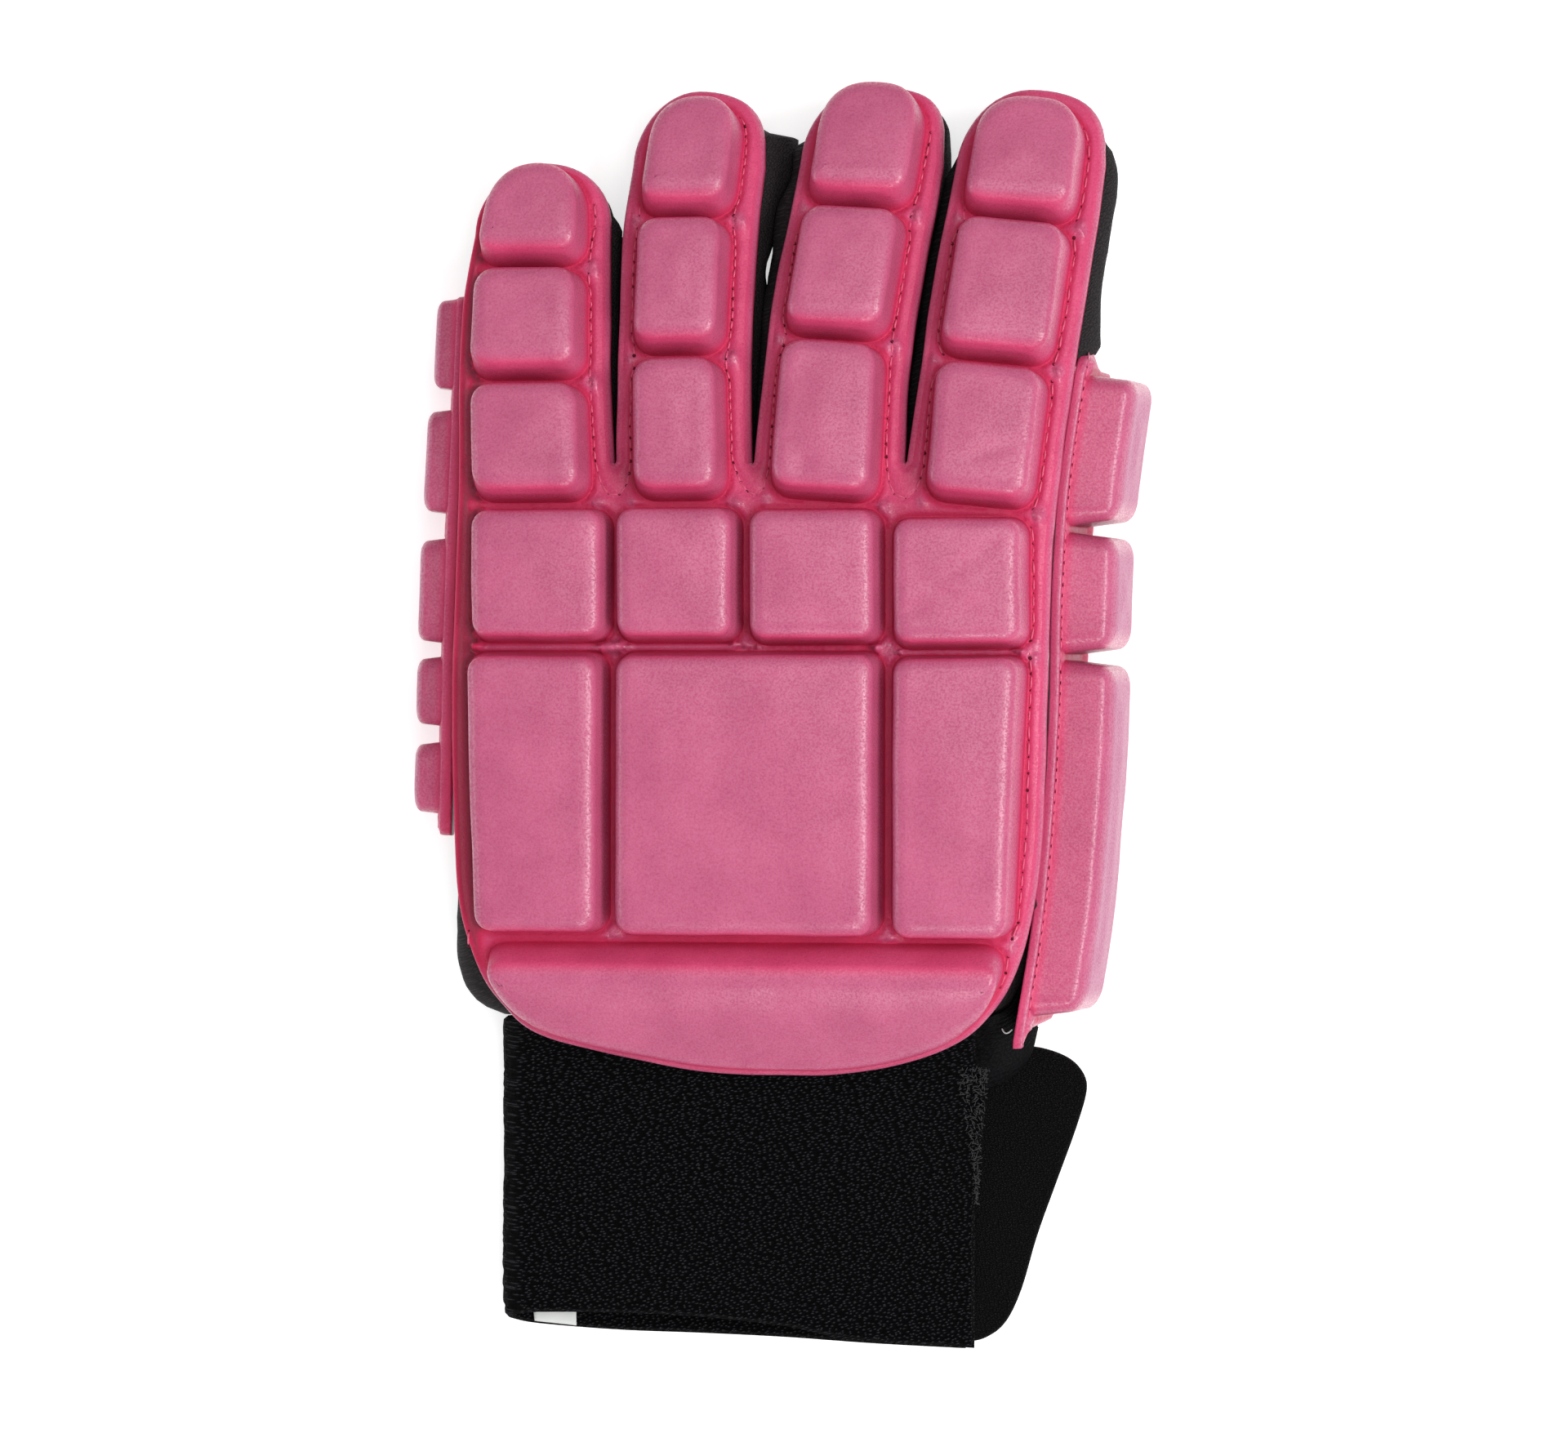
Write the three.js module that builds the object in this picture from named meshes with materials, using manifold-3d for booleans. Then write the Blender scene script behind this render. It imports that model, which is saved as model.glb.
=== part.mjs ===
// Indoor hockey glove for the left hand, lying palm down, in millimetres.
// +X points to the thumb side, +Y to the fingertips and +Z up, away from the palm.
// The origin is on the resting plane, under the middle of the glove's outline.

import * as THREE from 'three';
import { mergeVertices } from 'three/addons/utils/BufferGeometryUtils.js';
import { TessellateModifier } from 'three/addons/modifiers/TessellateModifier.js';
import Module from 'manifold-3d';

const wasm = await Module();
wasm.setup();

// Driving dimensions

const SHEET = 3;                     // thickness of the foam sheet between its raised blocks
const FINGER_BLOCK = 9;              // height of the blocks over the sheet
const PANEL_BLOCK = 9.5;
const SIDE_BLOCK = 5.4;
const THUMB_BLOCK = 9.4;
const DRAFT = 9;                     // degrees that a block's walls lean in
const EDGE = 1.4;                    // bevel round a block's face
const CORNER = 2.6;                  // plan radius at a block's corners
const GROOVE = 0.9;                  // sheet that shows between two blocks
const FLANGE = { left: 3, right: 5.4 };  // sheet that shows beside the finger blocks
const WRIST_FLANGE = 2.4;
const SEAT = 0.55;                   // air between the foam and the cloth under it
const CLOTH = 1.8;                   // wall of the hand sleeve
const FINGER_CLOTH = 1.6;
const BAND_CLOTH = 2.2;
const STRAP_CLOTH = 2;
const JOIN = 0.4;                    // air between two cloth pieces that are sewn edge to edge
const CROWN = 0.0003;                // how fast the back falls away on both sides, per mm
const LONGEST_EDGE = { back: 15, sides: 45 };  // of a triangle on the curved foam

// Height of the foam's underside at x = 0 and its sideways slope in degrees, from the cuff to the fingertips
const BACK = [
  { y: -130, height: 12.0, roll: 0.5 },
  { y: -95, height: 14.0, roll: 2.0 },
  { y: -73.5, height: 17.8, roll: 5.5 },
  { y: -60, height: 23.2, roll: 7.0 },
  { y: -44, height: 28.8, roll: 8.0 },
  { y: -15, height: 31.0, roll: 8.0 },
  { y: 14, height: 31.0, roll: 7.0 },
  { y: 42, height: 29.4, roll: 7.0 },
  { y: 66, height: 25.4, roll: 7.0 },
  { y: 90, height: 20.5, roll: 6.5 },
  { y: 110, height: 15.2, roll: 6.0 },
  { y: 127, height: 9.4, roll: 6.0 },
];

// Edges of the four finger strips. The lowest row carries the edges on past the slits, to set the blocks.
const FINGERS = [
  {
    name: 'little', tip: 111.4, slant: 0, joints: [90.3, 67.0, 42.2],
    strip: [
      { y: 42, left: -65.9, right: -31.4 }, { y: 50, left: -65.9, right: -34.3 },
      { y: 66, left: -65.8, right: -35.0 }, { y: 82, left: -65.0, right: -34.7 },
      { y: 98, left: -62.0, right: -35.1 },
    ],
  },
  {
    name: 'ring', tip: 125.9, slant: 0, joints: [100.0, 71.9, 42.4],
    strip: [
      { y: 42, left: -33.0, right: -5.0 }, { y: 50, left: -33.6, right: -6.4 },
      { y: 68, left: -33.2, right: -6.4 }, { y: 88, left: -32.4, right: -5.8 },
      { y: 112, left: -29.6, right: -3.6 },
    ],
  },
  {
    name: 'middle', tip: 127.8, slant: -4, joints: [101.6, 74.9, 42.3],
    strip: [
      { y: 42, left: -6.0, right: 23.8 }, { y: 50, left: -5.8, right: 24.5 },
      { y: 68, left: -4.0, right: 25.4 }, { y: 88, left: -1.4, right: 28.5 },
      { y: 113, left: 3.8, right: 32.8 },
    ],
  },
  {
    name: 'index', tip: 126.2, slant: -6, joints: [98.8, 70.0, 41.2],
    strip: [
      { y: 42, left: 24.8, right: 55.6 }, { y: 50, left: 25.2, right: 56.3 },
      { y: 68, left: 27.6, right: 58.4 }, { y: 88, left: 30.6, right: 61.6 },
      { y: 112, left: 35.4, right: 64.9 },
    ],
  },
];
const SLIT_END = 49;                 // the slits between the strips start here

// Edges of the back of the hand, from the knuckles down to the wrist's round end
const HAND = [
  { y: 28, left: -66.5, right: 54.1 }, { y: 0, left: -67.3, right: 53.2 },
  { y: -22, left: -66.8, right: 52.5 }, { y: -38, left: -65.8, right: 50.8 },
  { y: -50, left: -62.5, right: 47.8 }, { y: -58, left: -57.7, right: 44.0 },
  { y: -65, left: -49.0, right: 37.0 }, { y: -70, left: -29.0, right: 25.5 },
  { y: -72.8, left: -12.0, right: 11.0 },
];

// Blocks over the knuckles and the back of the hand, between two heights. The outer ones taper to the wrist.
const PANELS = [
  { left: -62.9, right: -34.6, high: 41.3, low: 14.5, height: FINGER_BLOCK },
  { left: -33.1, right: -7.8, high: 41.5, low: 14.4, height: FINGER_BLOCK },
  { left: -6.4, right: 20.8, high: 41.2, low: 13.9, height: FINGER_BLOCK },
  { left: 22.4, right: 50.0, high: 39.4, low: 13.0, height: FINGER_BLOCK },
  { left: -63.4, right: -34.6, high: 12.8, low: -43.6, height: PANEL_BLOCK, leftLow: -61.6 },
  { left: -33.2, right: 20.8, high: 12.7, low: -44.0, height: PANEL_BLOCK },
  { left: 22.3, right: 49.7, high: 11.8, low: -44.4, height: PANEL_BLOCK, rightLow: 47.0 },
];
const WRIST_BLOCK_TOP = -45.6;

// The thumb panel stands on its long edge and leans out at the bottom. Its blocks run from the thumb's tip.
const THUMB = {
  lean: 14, top: 29.5, width: 28.6, margin: 2.2,
  edge: [
    { y: -66.5, x: 47.2 }, { y: -38, x: 51.2 }, { y: -4, x: 54.0 },
    { y: 25, x: 55.0 }, { y: 46, x: 56.0 }, { y: 72.4, x: 59.6 },
  ],
  blocks: [{ high: 68.9, low: 38.4 }, { high: 36.9, low: 12.4 }, { high: 10.9, low: -62.4 }],
};

// The side strip stands upright on the little-finger side
const SIDE = {
  thickness: 2.4, top: 19.5, margin: 1.8, bottom: 0.8,
  edge: [{ y: -24.8, x: -70.3 }, { y: 20, x: -69.3 }, { y: 85.4, x: -66.9 }],
  blocks: [
    { high: 84.2, low: 66.2 }, { high: 61.8, low: 40.9 }, { high: 35.6, low: 14.5 },
    { high: 11.8, low: -2.4 }, { high: -5.6, low: -20.2 },
  ],
};

// Curves through the tables

function smooth(rows, key, at) {
  // Value of a table's column at a height, on a smooth curve through its rows sorted by y
  const sorted = [...rows].sort((a, b) => a.y - b.y);
  const last = sorted.length - 1;
  if (at <= sorted[0].y) return sorted[0][key];
  if (at >= sorted[last].y) {
    const slope = (sorted[last][key] - sorted[last - 1][key]) / (sorted[last].y - sorted[last - 1].y);
    return sorted[last][key] + slope * (at - sorted[last].y);
  }
  const slope = (i) => {
    const low = sorted[Math.max(i - 1, 0)];
    const high = sorted[Math.min(i + 1, last)];
    return (high[key] - low[key]) / (high.y - low.y);
  };
  const i = sorted.findIndex((row) => row.y > at) - 1;
  const span = sorted[i + 1].y - sorted[i].y;
  const t = (at - sorted[i].y) / span;
  const ease = t * t * (3 - 2 * t);
  return sorted[i][key] * (1 - ease) + sorted[i + 1][key] * ease
    + span * (slope(i) * t * (1 - t) ** 2 - slope(i + 1) * t * t * (1 - t));
}

const radians = THREE.MathUtils.degToRad;
const lerp = THREE.MathUtils.lerp;
const smoothstep = THREE.MathUtils.smoothstep;

function backHeight(x, y) {
  // Underside of the foam over the back of the hand
  return smooth(BACK, 'height', y) + Math.tan(radians(smooth(BACK, 'roll', y))) * x - CROWN * x * x;
}

function backPlace(x, y, h) {
  // A point h above the back surface, along its normal
  const step = 0.5;
  const across = (backHeight(x + step, y) - backHeight(x - step, y)) / (2 * step);
  const along = (backHeight(x, y + step) - backHeight(x, y - step)) / (2 * step);
  const normal = new THREE.Vector3(-across, -along, 1).normalize();
  return new THREE.Vector3(x, y, backHeight(x, y)).addScaledVector(normal, h);
}

function standingPlace(side) {
  // A panel that stands beside the hand: u runs down from its top edge, v along it, h out from the hand
  const lean = radians(side.lean);
  return (u, v, h) => {
    const x = smooth(side.edge, 'x', v);
    return new THREE.Vector3(
      x + side.out * (u * Math.sin(lean) + h * Math.cos(lean)),
      v,
      side.top - u * Math.cos(lean) + h * Math.sin(lean),
    );
  };
}

// Solids

function toSolid(geometry) {
  geometry.deleteAttribute('normal');
  geometry.deleteAttribute('uv');
  const merged = mergeVertices(geometry, 1e-4);
  return new wasm.Manifold(new wasm.Mesh({
    numProp: 3,
    vertProperties: new Float32Array(merged.attributes.position.array),
    triVerts: new Uint32Array(merged.index.array),
  }));
}

function toGeometry(solid) {
  const mesh = solid.getMesh();
  const geometry = new THREE.BufferGeometry();
  geometry.setAttribute('position', new THREE.BufferAttribute(new Float32Array(mesh.vertProperties), 3));
  geometry.setIndex(new THREE.BufferAttribute(new Uint32Array(mesh.triVerts), 1));
  return geometry;
}

function thickSheet(outer, inner, { ring = false, tip = false, hole = () => false } = {}) {
  // A wall between two grids of points, rows[j][i]: closed round i for a tube, and closed at its last row
  // for a tip. hole says which cells of the grids are left open.
  const rows = outer.length;
  const across = outer[0].length;
  const points = [...outer.flat(), ...inner.flat()];
  const faces = [];
  const at = (layer, j, i) => layer * rows * across + j * across + (i % across);
  const quad = (a, b, c, d) => faces.push(a, b, c, a, c, d);
  const steps = ring ? across : across - 1;
  const open = (j, i) => {
    const column = (i + across) % across;
    const next = (column + 1) % across;
    if (j < 0 || j + 1 >= rows) return false;
    return hole([outer[j][column], outer[j][next], outer[j + 1][column], outer[j + 1][next]]);
  };
  for (let j = 0; j + 1 < rows; j += 1) {
    for (let i = 0; i < steps; i += 1) {
      if (open(j, i)) {
        if (!open(j - 1, i)) quad(at(0, j, i), at(0, j, i + 1), at(1, j, i + 1), at(1, j, i));
        if (!open(j + 1, i)) quad(at(0, j + 1, i + 1), at(0, j + 1, i), at(1, j + 1, i), at(1, j + 1, i + 1));
        if (!open(j, i - 1)) quad(at(0, j + 1, i), at(0, j, i), at(1, j, i), at(1, j + 1, i));
        if (!open(j, i + 1)) quad(at(0, j, i + 1), at(0, j + 1, i + 1), at(1, j + 1, i + 1), at(1, j, i + 1));
      } else {
        quad(at(0, j, i), at(0, j, i + 1), at(0, j + 1, i + 1), at(0, j + 1, i));
        quad(at(1, j, i), at(1, j + 1, i), at(1, j + 1, i + 1), at(1, j, i + 1));
      }
    }
    if (!ring) {
      quad(at(0, j, 0), at(0, j + 1, 0), at(1, j + 1, 0), at(1, j, 0));
      quad(at(0, j, steps), at(1, j, steps), at(1, j + 1, steps), at(0, j + 1, steps));
    }
  }
  for (let i = 0; i < steps; i += 1) {
    quad(at(0, 0, i), at(1, 0, i), at(1, 0, i + 1), at(0, 0, i + 1));
    if (!tip) quad(at(0, rows - 1, i), at(0, rows - 1, i + 1), at(1, rows - 1, i + 1), at(1, rows - 1, i));
  }
  if (tip) {
    [outer, inner].forEach((grid, layer) => {
      const centre = points.length;
      const end = grid[rows - 1];
      points.push(end.reduce((sum, p) => sum.add(p), new THREE.Vector3()).divideScalar(across));
      for (let i = 0; i < steps; i += 1) {
        const pair = [at(layer, rows - 1, i), at(layer, rows - 1, i + 1)];
        faces.push(...(layer === 0 ? pair : pair.reverse()), centre);
      }
    });
  }
  const geometry = new THREE.BufferGeometry().setFromPoints(points);
  geometry.setIndex(faces);
  return geometry;
}

function inset(corners, distance) {
  // A polygon that runs counter-clockwise, moved in by a distance
  return corners.map((corner, i) => {
    const before = corners[(i + corners.length - 1) % corners.length];
    const after = corners[(i + 1) % corners.length];
    const arriving = corner.clone().sub(before).normalize();
    const leaving = after.clone().sub(corner).normalize();
    const bisector = new THREE.Vector2(-arriving.y - leaving.y, arriving.x + leaving.x);
    return corner.clone().addScaledVector(bisector, distance / (1 + arriving.dot(leaving)));
  });
}

function rounded(corners, radii, steps = 2) {
  // The polygon with its corners rounded
  return corners.flatMap((corner, i) => {
    const before = corners[(i + corners.length - 1) % corners.length];
    const after = corners[(i + 1) % corners.length];
    const start = corner.clone().add(before.clone().sub(corner).setLength(radii[i]));
    const end = corner.clone().add(after.clone().sub(corner).setLength(radii[i]));
    return new THREE.QuadraticBezierCurve(start, corner, end).getPoints(steps);
  });
}

function stack(rings) {
  // A closed body through rings of points, each ring counter-clockwise seen from beyond the last one
  const count = rings[0].length;
  const points = rings.flat();
  const faces = [];
  for (let k = 0; k + 1 < rings.length; k += 1) {
    for (let i = 0; i < count; i += 1) {
      const next = (i + 1) % count;
      faces.push(k * count + i, k * count + next, (k + 1) * count + next);
      faces.push(k * count + i, (k + 1) * count + next, (k + 1) * count + i);
    }
  }
  [0, rings.length - 1].forEach((k) => {
    const centre = points.length;
    points.push(rings[k].reduce((sum, p) => sum.clone().add(p)).divideScalar(count));
    for (let i = 0; i < count; i += 1) {
      const pair = [k * count + i, k * count + ((i + 1) % count)];
      faces.push(...(k === 0 ? pair.reverse() : pair), centre);
    }
  });
  const geometry = new THREE.BufferGeometry().setFromPoints(points);
  geometry.setIndex(faces);
  return geometry;
}

function block(corners, radii, height, base = SHEET) {
  // A raised block in the flat: walls with draft, a bevelled edge and a flat face
  const draft = Math.tan(radians(DRAFT));
  const levels = [
    { h: base - 0.8, in: -0.8 * draft },
    { h: base + height - EDGE, in: (height - EDGE) * draft },
    { h: base + height, in: (height - EDGE) * draft + EDGE },
  ];
  return stack(levels.map((level) => {
    const shrunk = radii.map((radius) => Math.max(radius - 0.75 * level.in, 0.8));
    return rounded(inset(corners, level.in), shrunk).map((p) => new THREE.Vector3(p.x, p.y, level.h));
  }));
}

function paddedSheet(outline, thickness, blocks, place, longest) {
  // Foam sheet with its blocks, joined in the flat, cut into small triangles and laid on its curved surface
  const shape = new THREE.Shape(outline);
  let solid = toSolid(new THREE.ExtrudeGeometry(shape, { depth: thickness, bevelEnabled: false }));
  blocks.forEach((piece) => { solid = solid.add(toSolid(piece)); });
  const fine = new TessellateModifier(longest, 12).modify(toGeometry(solid).toNonIndexed());
  fine.deleteAttribute('normal');
  const geometry = mergeVertices(fine, 1e-4);
  const position = geometry.attributes.position;
  for (let i = 0; i < position.count; i += 1) {
    const p = place(position.getX(i), position.getY(i), position.getZ(i));
    position.setXYZ(i, p.x, p.y, p.z);
  }
  return geometry;
}

// Back shell

function stripOutline(finger) {
  // Up a finger strip's left edge, round its tip and down its right edge
  const rows = finger.strip.filter((row) => row.y > SLIT_END);
  const top = rows[rows.length - 1];
  const middle = (top.left + top.right) / 2;
  const half = (top.right - top.left) / 2;
  const turns = 8;
  const round = [];
  for (let k = 1; k < turns; k += 1) {
    const angle = Math.PI * (1 - k / turns);
    round.push(new THREE.Vector2(
      middle + half * Math.cos(angle),
      top.y + (finger.tip - top.y) * Math.sin(angle) ** 0.8,
    ));
  }
  return [
    ...rows.map((row) => new THREE.Vector2(row.left, row.y)),
    ...round,
    ...rows.map((row) => new THREE.Vector2(row.right, row.y)).reverse(),
  ];
}

function shellOutline() {
  const points = FINGERS.flatMap(stripOutline);
  HAND.forEach((row) => points.push(new THREE.Vector2(row.right, row.y)));
  [...HAND].reverse().forEach((row) => points.push(new THREE.Vector2(row.left, row.y)));
  return points.reverse();
}

function fingerBlocks(finger) {
  // Three blocks on a strip, between its edges and its joints; the topmost one is round at the tip
  const slant = Math.tan(radians(finger.slant));
  const edges = (y) => ({
    left: smooth(finger.strip, 'left', y) + FLANGE.left,
    right: smooth(finger.strip, 'right', y) - FLANGE.right,
  });
  const cut = (y, side) => {
    const { left, right } = edges(y);
    const x = side === 'left' ? left : right;
    return new THREE.Vector2(x, y + slant * (x - (left + right) / 2));
  };
  const highs = [finger.tip - 0.8, ...finger.joints.map((y) => y - GROOVE / 2)];
  return finger.joints.map((joint, i) => {
    const high = highs[i];
    const low = joint + GROOVE / 2;
    const corners = [cut(low, 'left'), cut(low, 'right'), cut(high, 'right'), cut(high, 'left')];
    const tipRadius = 0.44 * (corners[2].x - corners[3].x);
    const radii = i === 0 ? [CORNER, CORNER, tipRadius, tipRadius] : corners.map(() => CORNER);
    return block(corners, radii, FINGER_BLOCK);
  });
}

function handBlocks() {
  const blocks = PANELS.map(({ left, right, high, low, height, leftLow = left, rightLow = right }) => {
    const corners = [
      new THREE.Vector2(leftLow, low), new THREE.Vector2(rightLow, low),
      new THREE.Vector2(right, high), new THREE.Vector2(left, high),
    ];
    return block(corners, corners.map(() => CORNER), height);
  });
  const rows = HAND.filter((row) => row.y < WRIST_BLOCK_TOP);
  const rim = [
    ...rows.map((row) => new THREE.Vector2(row.left, row.y)),
    ...[...rows].reverse().map((row) => new THREE.Vector2(row.right, row.y)),
    new THREE.Vector2(smooth(HAND, 'right', WRIST_BLOCK_TOP), WRIST_BLOCK_TOP + WRIST_FLANGE),
    new THREE.Vector2(smooth(HAND, 'left', WRIST_BLOCK_TOP), WRIST_BLOCK_TOP + WRIST_FLANGE),
  ];
  const corners = inset(rim, WRIST_FLANGE);
  blocks.push(block(corners, corners.map(() => 1.6), FINGER_BLOCK));
  return blocks;
}

function backShell() {
  const blocks = [...FINGERS.flatMap(fingerBlocks), ...handBlocks()];
  return paddedSheet(shellOutline(), SHEET, blocks, backPlace, LONGEST_EDGE.back);
}

// Panels at the two sides

function sidePanel(side, thickness, blockHeight) {
  const place = standingPlace(side);
  const rows = [...side.edge].sort((a, b) => a.y - b.y);
  const [low, high] = [rows[0].y, rows[rows.length - 1].y];
  const cuts = 6;
  const heights = Array.from({ length: cuts + 1 }, (_, k) => lerp(low, high, k / cuts));
  const outline = [
    ...heights.map((y) => new THREE.Vector2(side.upper(y), y)).reverse(),
    ...heights.map((y) => new THREE.Vector2(side.width, y)),
  ];
  const blocks = side.blocks.map((row) => {
    const corners = [
      new THREE.Vector2(side.upper(row.low) + side.margin, row.low),
      new THREE.Vector2(side.width - side.margin, row.low),
      new THREE.Vector2(side.width - side.margin, row.high),
      new THREE.Vector2(side.upper(row.high) + side.margin, row.high),
    ];
    return block(corners, corners.map(() => CORNER), blockHeight, thickness);
  });
  const laid = paddedSheet(outline, thickness, blocks, place, LONGEST_EDGE.sides);
  if (side.out < 0) laid.index.array.reverse();
  return laid;
}

function thumbPanel() {
  return sidePanel({ ...THUMB, out: 1, upper: () => 0 }, SHEET, THUMB_BLOCK);
}

function sideStripTop(y) {
  // The strip ends under the foam of the back where the little finger curls down
  return Math.min(SIDE.top, backHeight(-67, y) - 0.9);
}

function sideStrip() {
  const width = SIDE.top - SIDE.bottom;
  const upper = (y) => SIDE.top - sideStripTop(y);
  const inner = SIDE.edge.map((row) => ({ y: row.y, x: row.x + SIDE.thickness }));
  return sidePanel({ ...SIDE, edge: inner, lean: 0, out: -1, width, upper }, SIDE.thickness, SIDE_BLOCK);
}

// Cloth

const ROUND = { finger: 0.62, hand: 0.45 };  // how square a tube's cross-section is, 1 for an ellipse

function tubeRing(section, points, wall, round) {
  // One ring of a tube, round from its right edge under the palm to its left edge and over the top
  const ring = [];
  const half = (section.right - section.left) / 2 - wall;
  const middle = (section.left + section.right) / 2;
  for (let k = 0; k < points; k += 1) {
    const angle = (2 * Math.PI * k) / points;
    const across = Math.sign(Math.cos(angle)) * Math.abs(Math.cos(angle)) ** round;
    const up = Math.sign(Math.sin(angle)) * Math.abs(Math.sin(angle)) ** round;
    const x = middle + half * across;
    const low = section.bottom(x, wall) + wall;
    const high = section.top(x) - wall;
    ring.push(new THREE.Vector3(x, section.y(wall), lerp(low, high, (up + 1) / 2)));
  }
  return ring.reverse();
}

function tube(sections, points, wall, { round = ROUND.finger, ...options }) {
  const outer = sections.map((section) => tubeRing(section, points, 0, round));
  const inner = sections.map((section) => tubeRing(section, points, wall, round));
  return thickSheet(outer, inner, { ring: true, ...options });
}

const FINGER_ROOT = 46;              // the finger sleeves meet the hand sleeve here
const FINGER_SHOW = 1.9;             // cloth that shows to the right of a finger strip
const FINGER_TUCK = 1;               // cloth held back under the strip's left edge
const FINGER_DEPTH = [{ y: 46, depth: 20 }, { y: 80, depth: 17 }, { y: 125, depth: 12 }];

function fingerBottom(x, y) {
  const overThumb = (smooth(THUMB_TUBE, 'depth', y) + 0.7)
    * smoothstep(x, THUMB_RISE.from, THUMB_RISE.to)
    * (1 - smoothstep(y, THUMB_END, THUMB_END + 8));
  return Math.max(0.2, overThumb, backHeight(x, y) - SEAT - smooth(FINGER_DEPTH, 'depth', y));
}

function fingerSleeve(finger) {
  // A cloth tube under a finger strip, wider than the strip on its right, round and closed at the tip
  const end = finger.tip - 1.2;
  const shoulder = finger.tip - 10;
  const stations = [FINGER_ROOT + JOIN, 54, 66, 80, 94, shoulder].map((y) => ({ y, narrow: 0 }));
  [0.35, 0.7, 0.93, 1].forEach((t) => {
    stations.push({ y: lerp(shoulder, end, t), narrow: 1 - Math.sqrt(1 - 0.93 * t * t) });
  });
  const sections = stations.map(({ y, narrow }) => {
    const left = smooth(finger.strip, 'left', y) + FINGER_TUCK;
    const right = smooth(finger.strip, 'right', y) + FINGER_SHOW * smoothstep(y, 52, 74);
    const middle = (left + right) / 2;
    const shut = (value, to) => lerp(value, to, 0.55 * narrow);
    return {
      y: (wall) => Math.min(y, end - wall * (narrow > 0 ? narrow : 0)),
      left: lerp(left, middle, narrow),
      right: lerp(right, middle, narrow),
      bottom: (x) => shut(fingerBottom(x, y), backHeight(x, y) - 5),
      top: (x) => backHeight(x, y) - SEAT,
    };
  });
  return tube(sections, 14, FINGER_CLOTH, { tip: true });
}

// The palm's underside rises over the folded thumb and up to the finger roots
const THUMB_CROTCH = { from: -42, to: -37 };
const THUMB_RISE = { from: 18, to: 31, height: 22.6 };
const HAND_END = -61.5;
const HAND_SLEEVE = [
  { y: -61.5, left: -57.0, right: 42.0 }, { y: -54, left: -61.0, right: 45.0 },
  { y: -43.8, left: -64.8, right: 48.1 }, { y: -42, left: -65.1, right: 48.4 },
  { y: -39.5, left: -65.5, right: 48.8 }, { y: -37, left: -65.8, right: 49.2 },
  { y: -30, left: -66.3, right: 50.0 }, { y: -10, left: -66.7, right: 51.6 },
  { y: 12, left: -66.2, right: 52.2 }, { y: 30, left: -65.7, right: 52.6 },
  { y: 45.5, left: -64.9, right: 53.2 },
];

function palmBottom(x, y, wall) {
  // The inner face takes each rise earlier, so that the wall keeps its thickness on the slopes
  const overThumb = THUMB_RISE.height
    * smoothstep(x + wall, THUMB_RISE.from, THUMB_RISE.to)
    * smoothstep(y + wall, THUMB_CROTCH.from, THUMB_CROTCH.to);
  const toFingers = fingerBottom(x, FINGER_ROOT) * smoothstep(y + wall, 14, FINGER_ROOT);
  return Math.max(overThumb, toFingers);
}

function handSleeve() {
  const sections = HAND_SLEEVE.map((row) => ({
    y: () => row.y,
    left: row.left,
    right: row.right,
    bottom: (x, wall) => palmBottom(x, row.y, wall),
    top: (x) => backHeight(x, row.y) - SEAT,
  }));
  return tube(sections, 36, CLOTH, { round: ROUND.hand, hole: isThumbHole });
}

const THUMB_TUBE = [
  { y: -36, left: 33.5, depth: 21.0 }, { y: -20, left: 34.5, depth: 21.4 },
  { y: 5, left: 35.5, depth: 21.4 }, { y: 30, left: 37.0, depth: 20.5 },
  { y: 50, left: 39.0, depth: 18.0 }, { y: 60, left: 41.0, depth: 16.0 },
];
const THUMB_END = 70.5;

function thumbPanelInner(y, z) {
  // The hand's side of the thumb panel at a height above the resting plane
  return smooth(THUMB.edge, 'x', y) + (THUMB.top - z) * Math.tan(radians(THUMB.lean));
}

function thumbSection(y, narrow, grow = 0) {
  const depth = smooth(THUMB_TUBE, 'depth', y);
  const left = smooth(THUMB_TUBE, 'left', y);
  const right = thumbPanelInner(y, 0.6 * depth) - 0.9;
  const middle = (left + right) / 2;
  return {
    y: (wall) => y - wall * narrow,
    left: lerp(left, middle, narrow) - grow,
    right: lerp(right, middle, narrow) + grow,
    bottom: () => 0.2 + 0.45 * narrow * depth - grow,
    top: () => depth * (1 - 0.3 * narrow) + grow,
  };
}

function thumbSleeve() {
  const sections = THUMB_TUBE.map((row) => thumbSection(row.y, 0));
  [0.4, 0.75, 1].forEach((t) => {
    sections.push(thumbSection(lerp(60, THUMB_END, t), 1 - Math.sqrt(1 - 0.9 * t * t)));
  });
  return tube(sections, 16, FINGER_CLOTH, { tip: true });
}

function isThumbHole(corners) {
  // The way from the palm into the thumb: cells of the wall that rises over it
  return corners.every((p) => p.x > THUMB_RISE.to && p.x < 47.6 && p.z < THUMB_RISE.height + 3
    && p.y >= THUMB_CROTCH.from - CLOTH && p.y <= THUMB_CROTCH.to);
}

// Cuff

const BAND = {
  start: HAND_END - JOIN, left: -57.6, right: 39.2, end: -122.8, endSlope: -0.052, backLonger: 2.4,
  fold: 5,                           // half-width of the fold at the little-finger side
};

function bandEnd(x) {
  return BAND.end + BAND.endSlope * (x - BAND.left);
}

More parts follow.
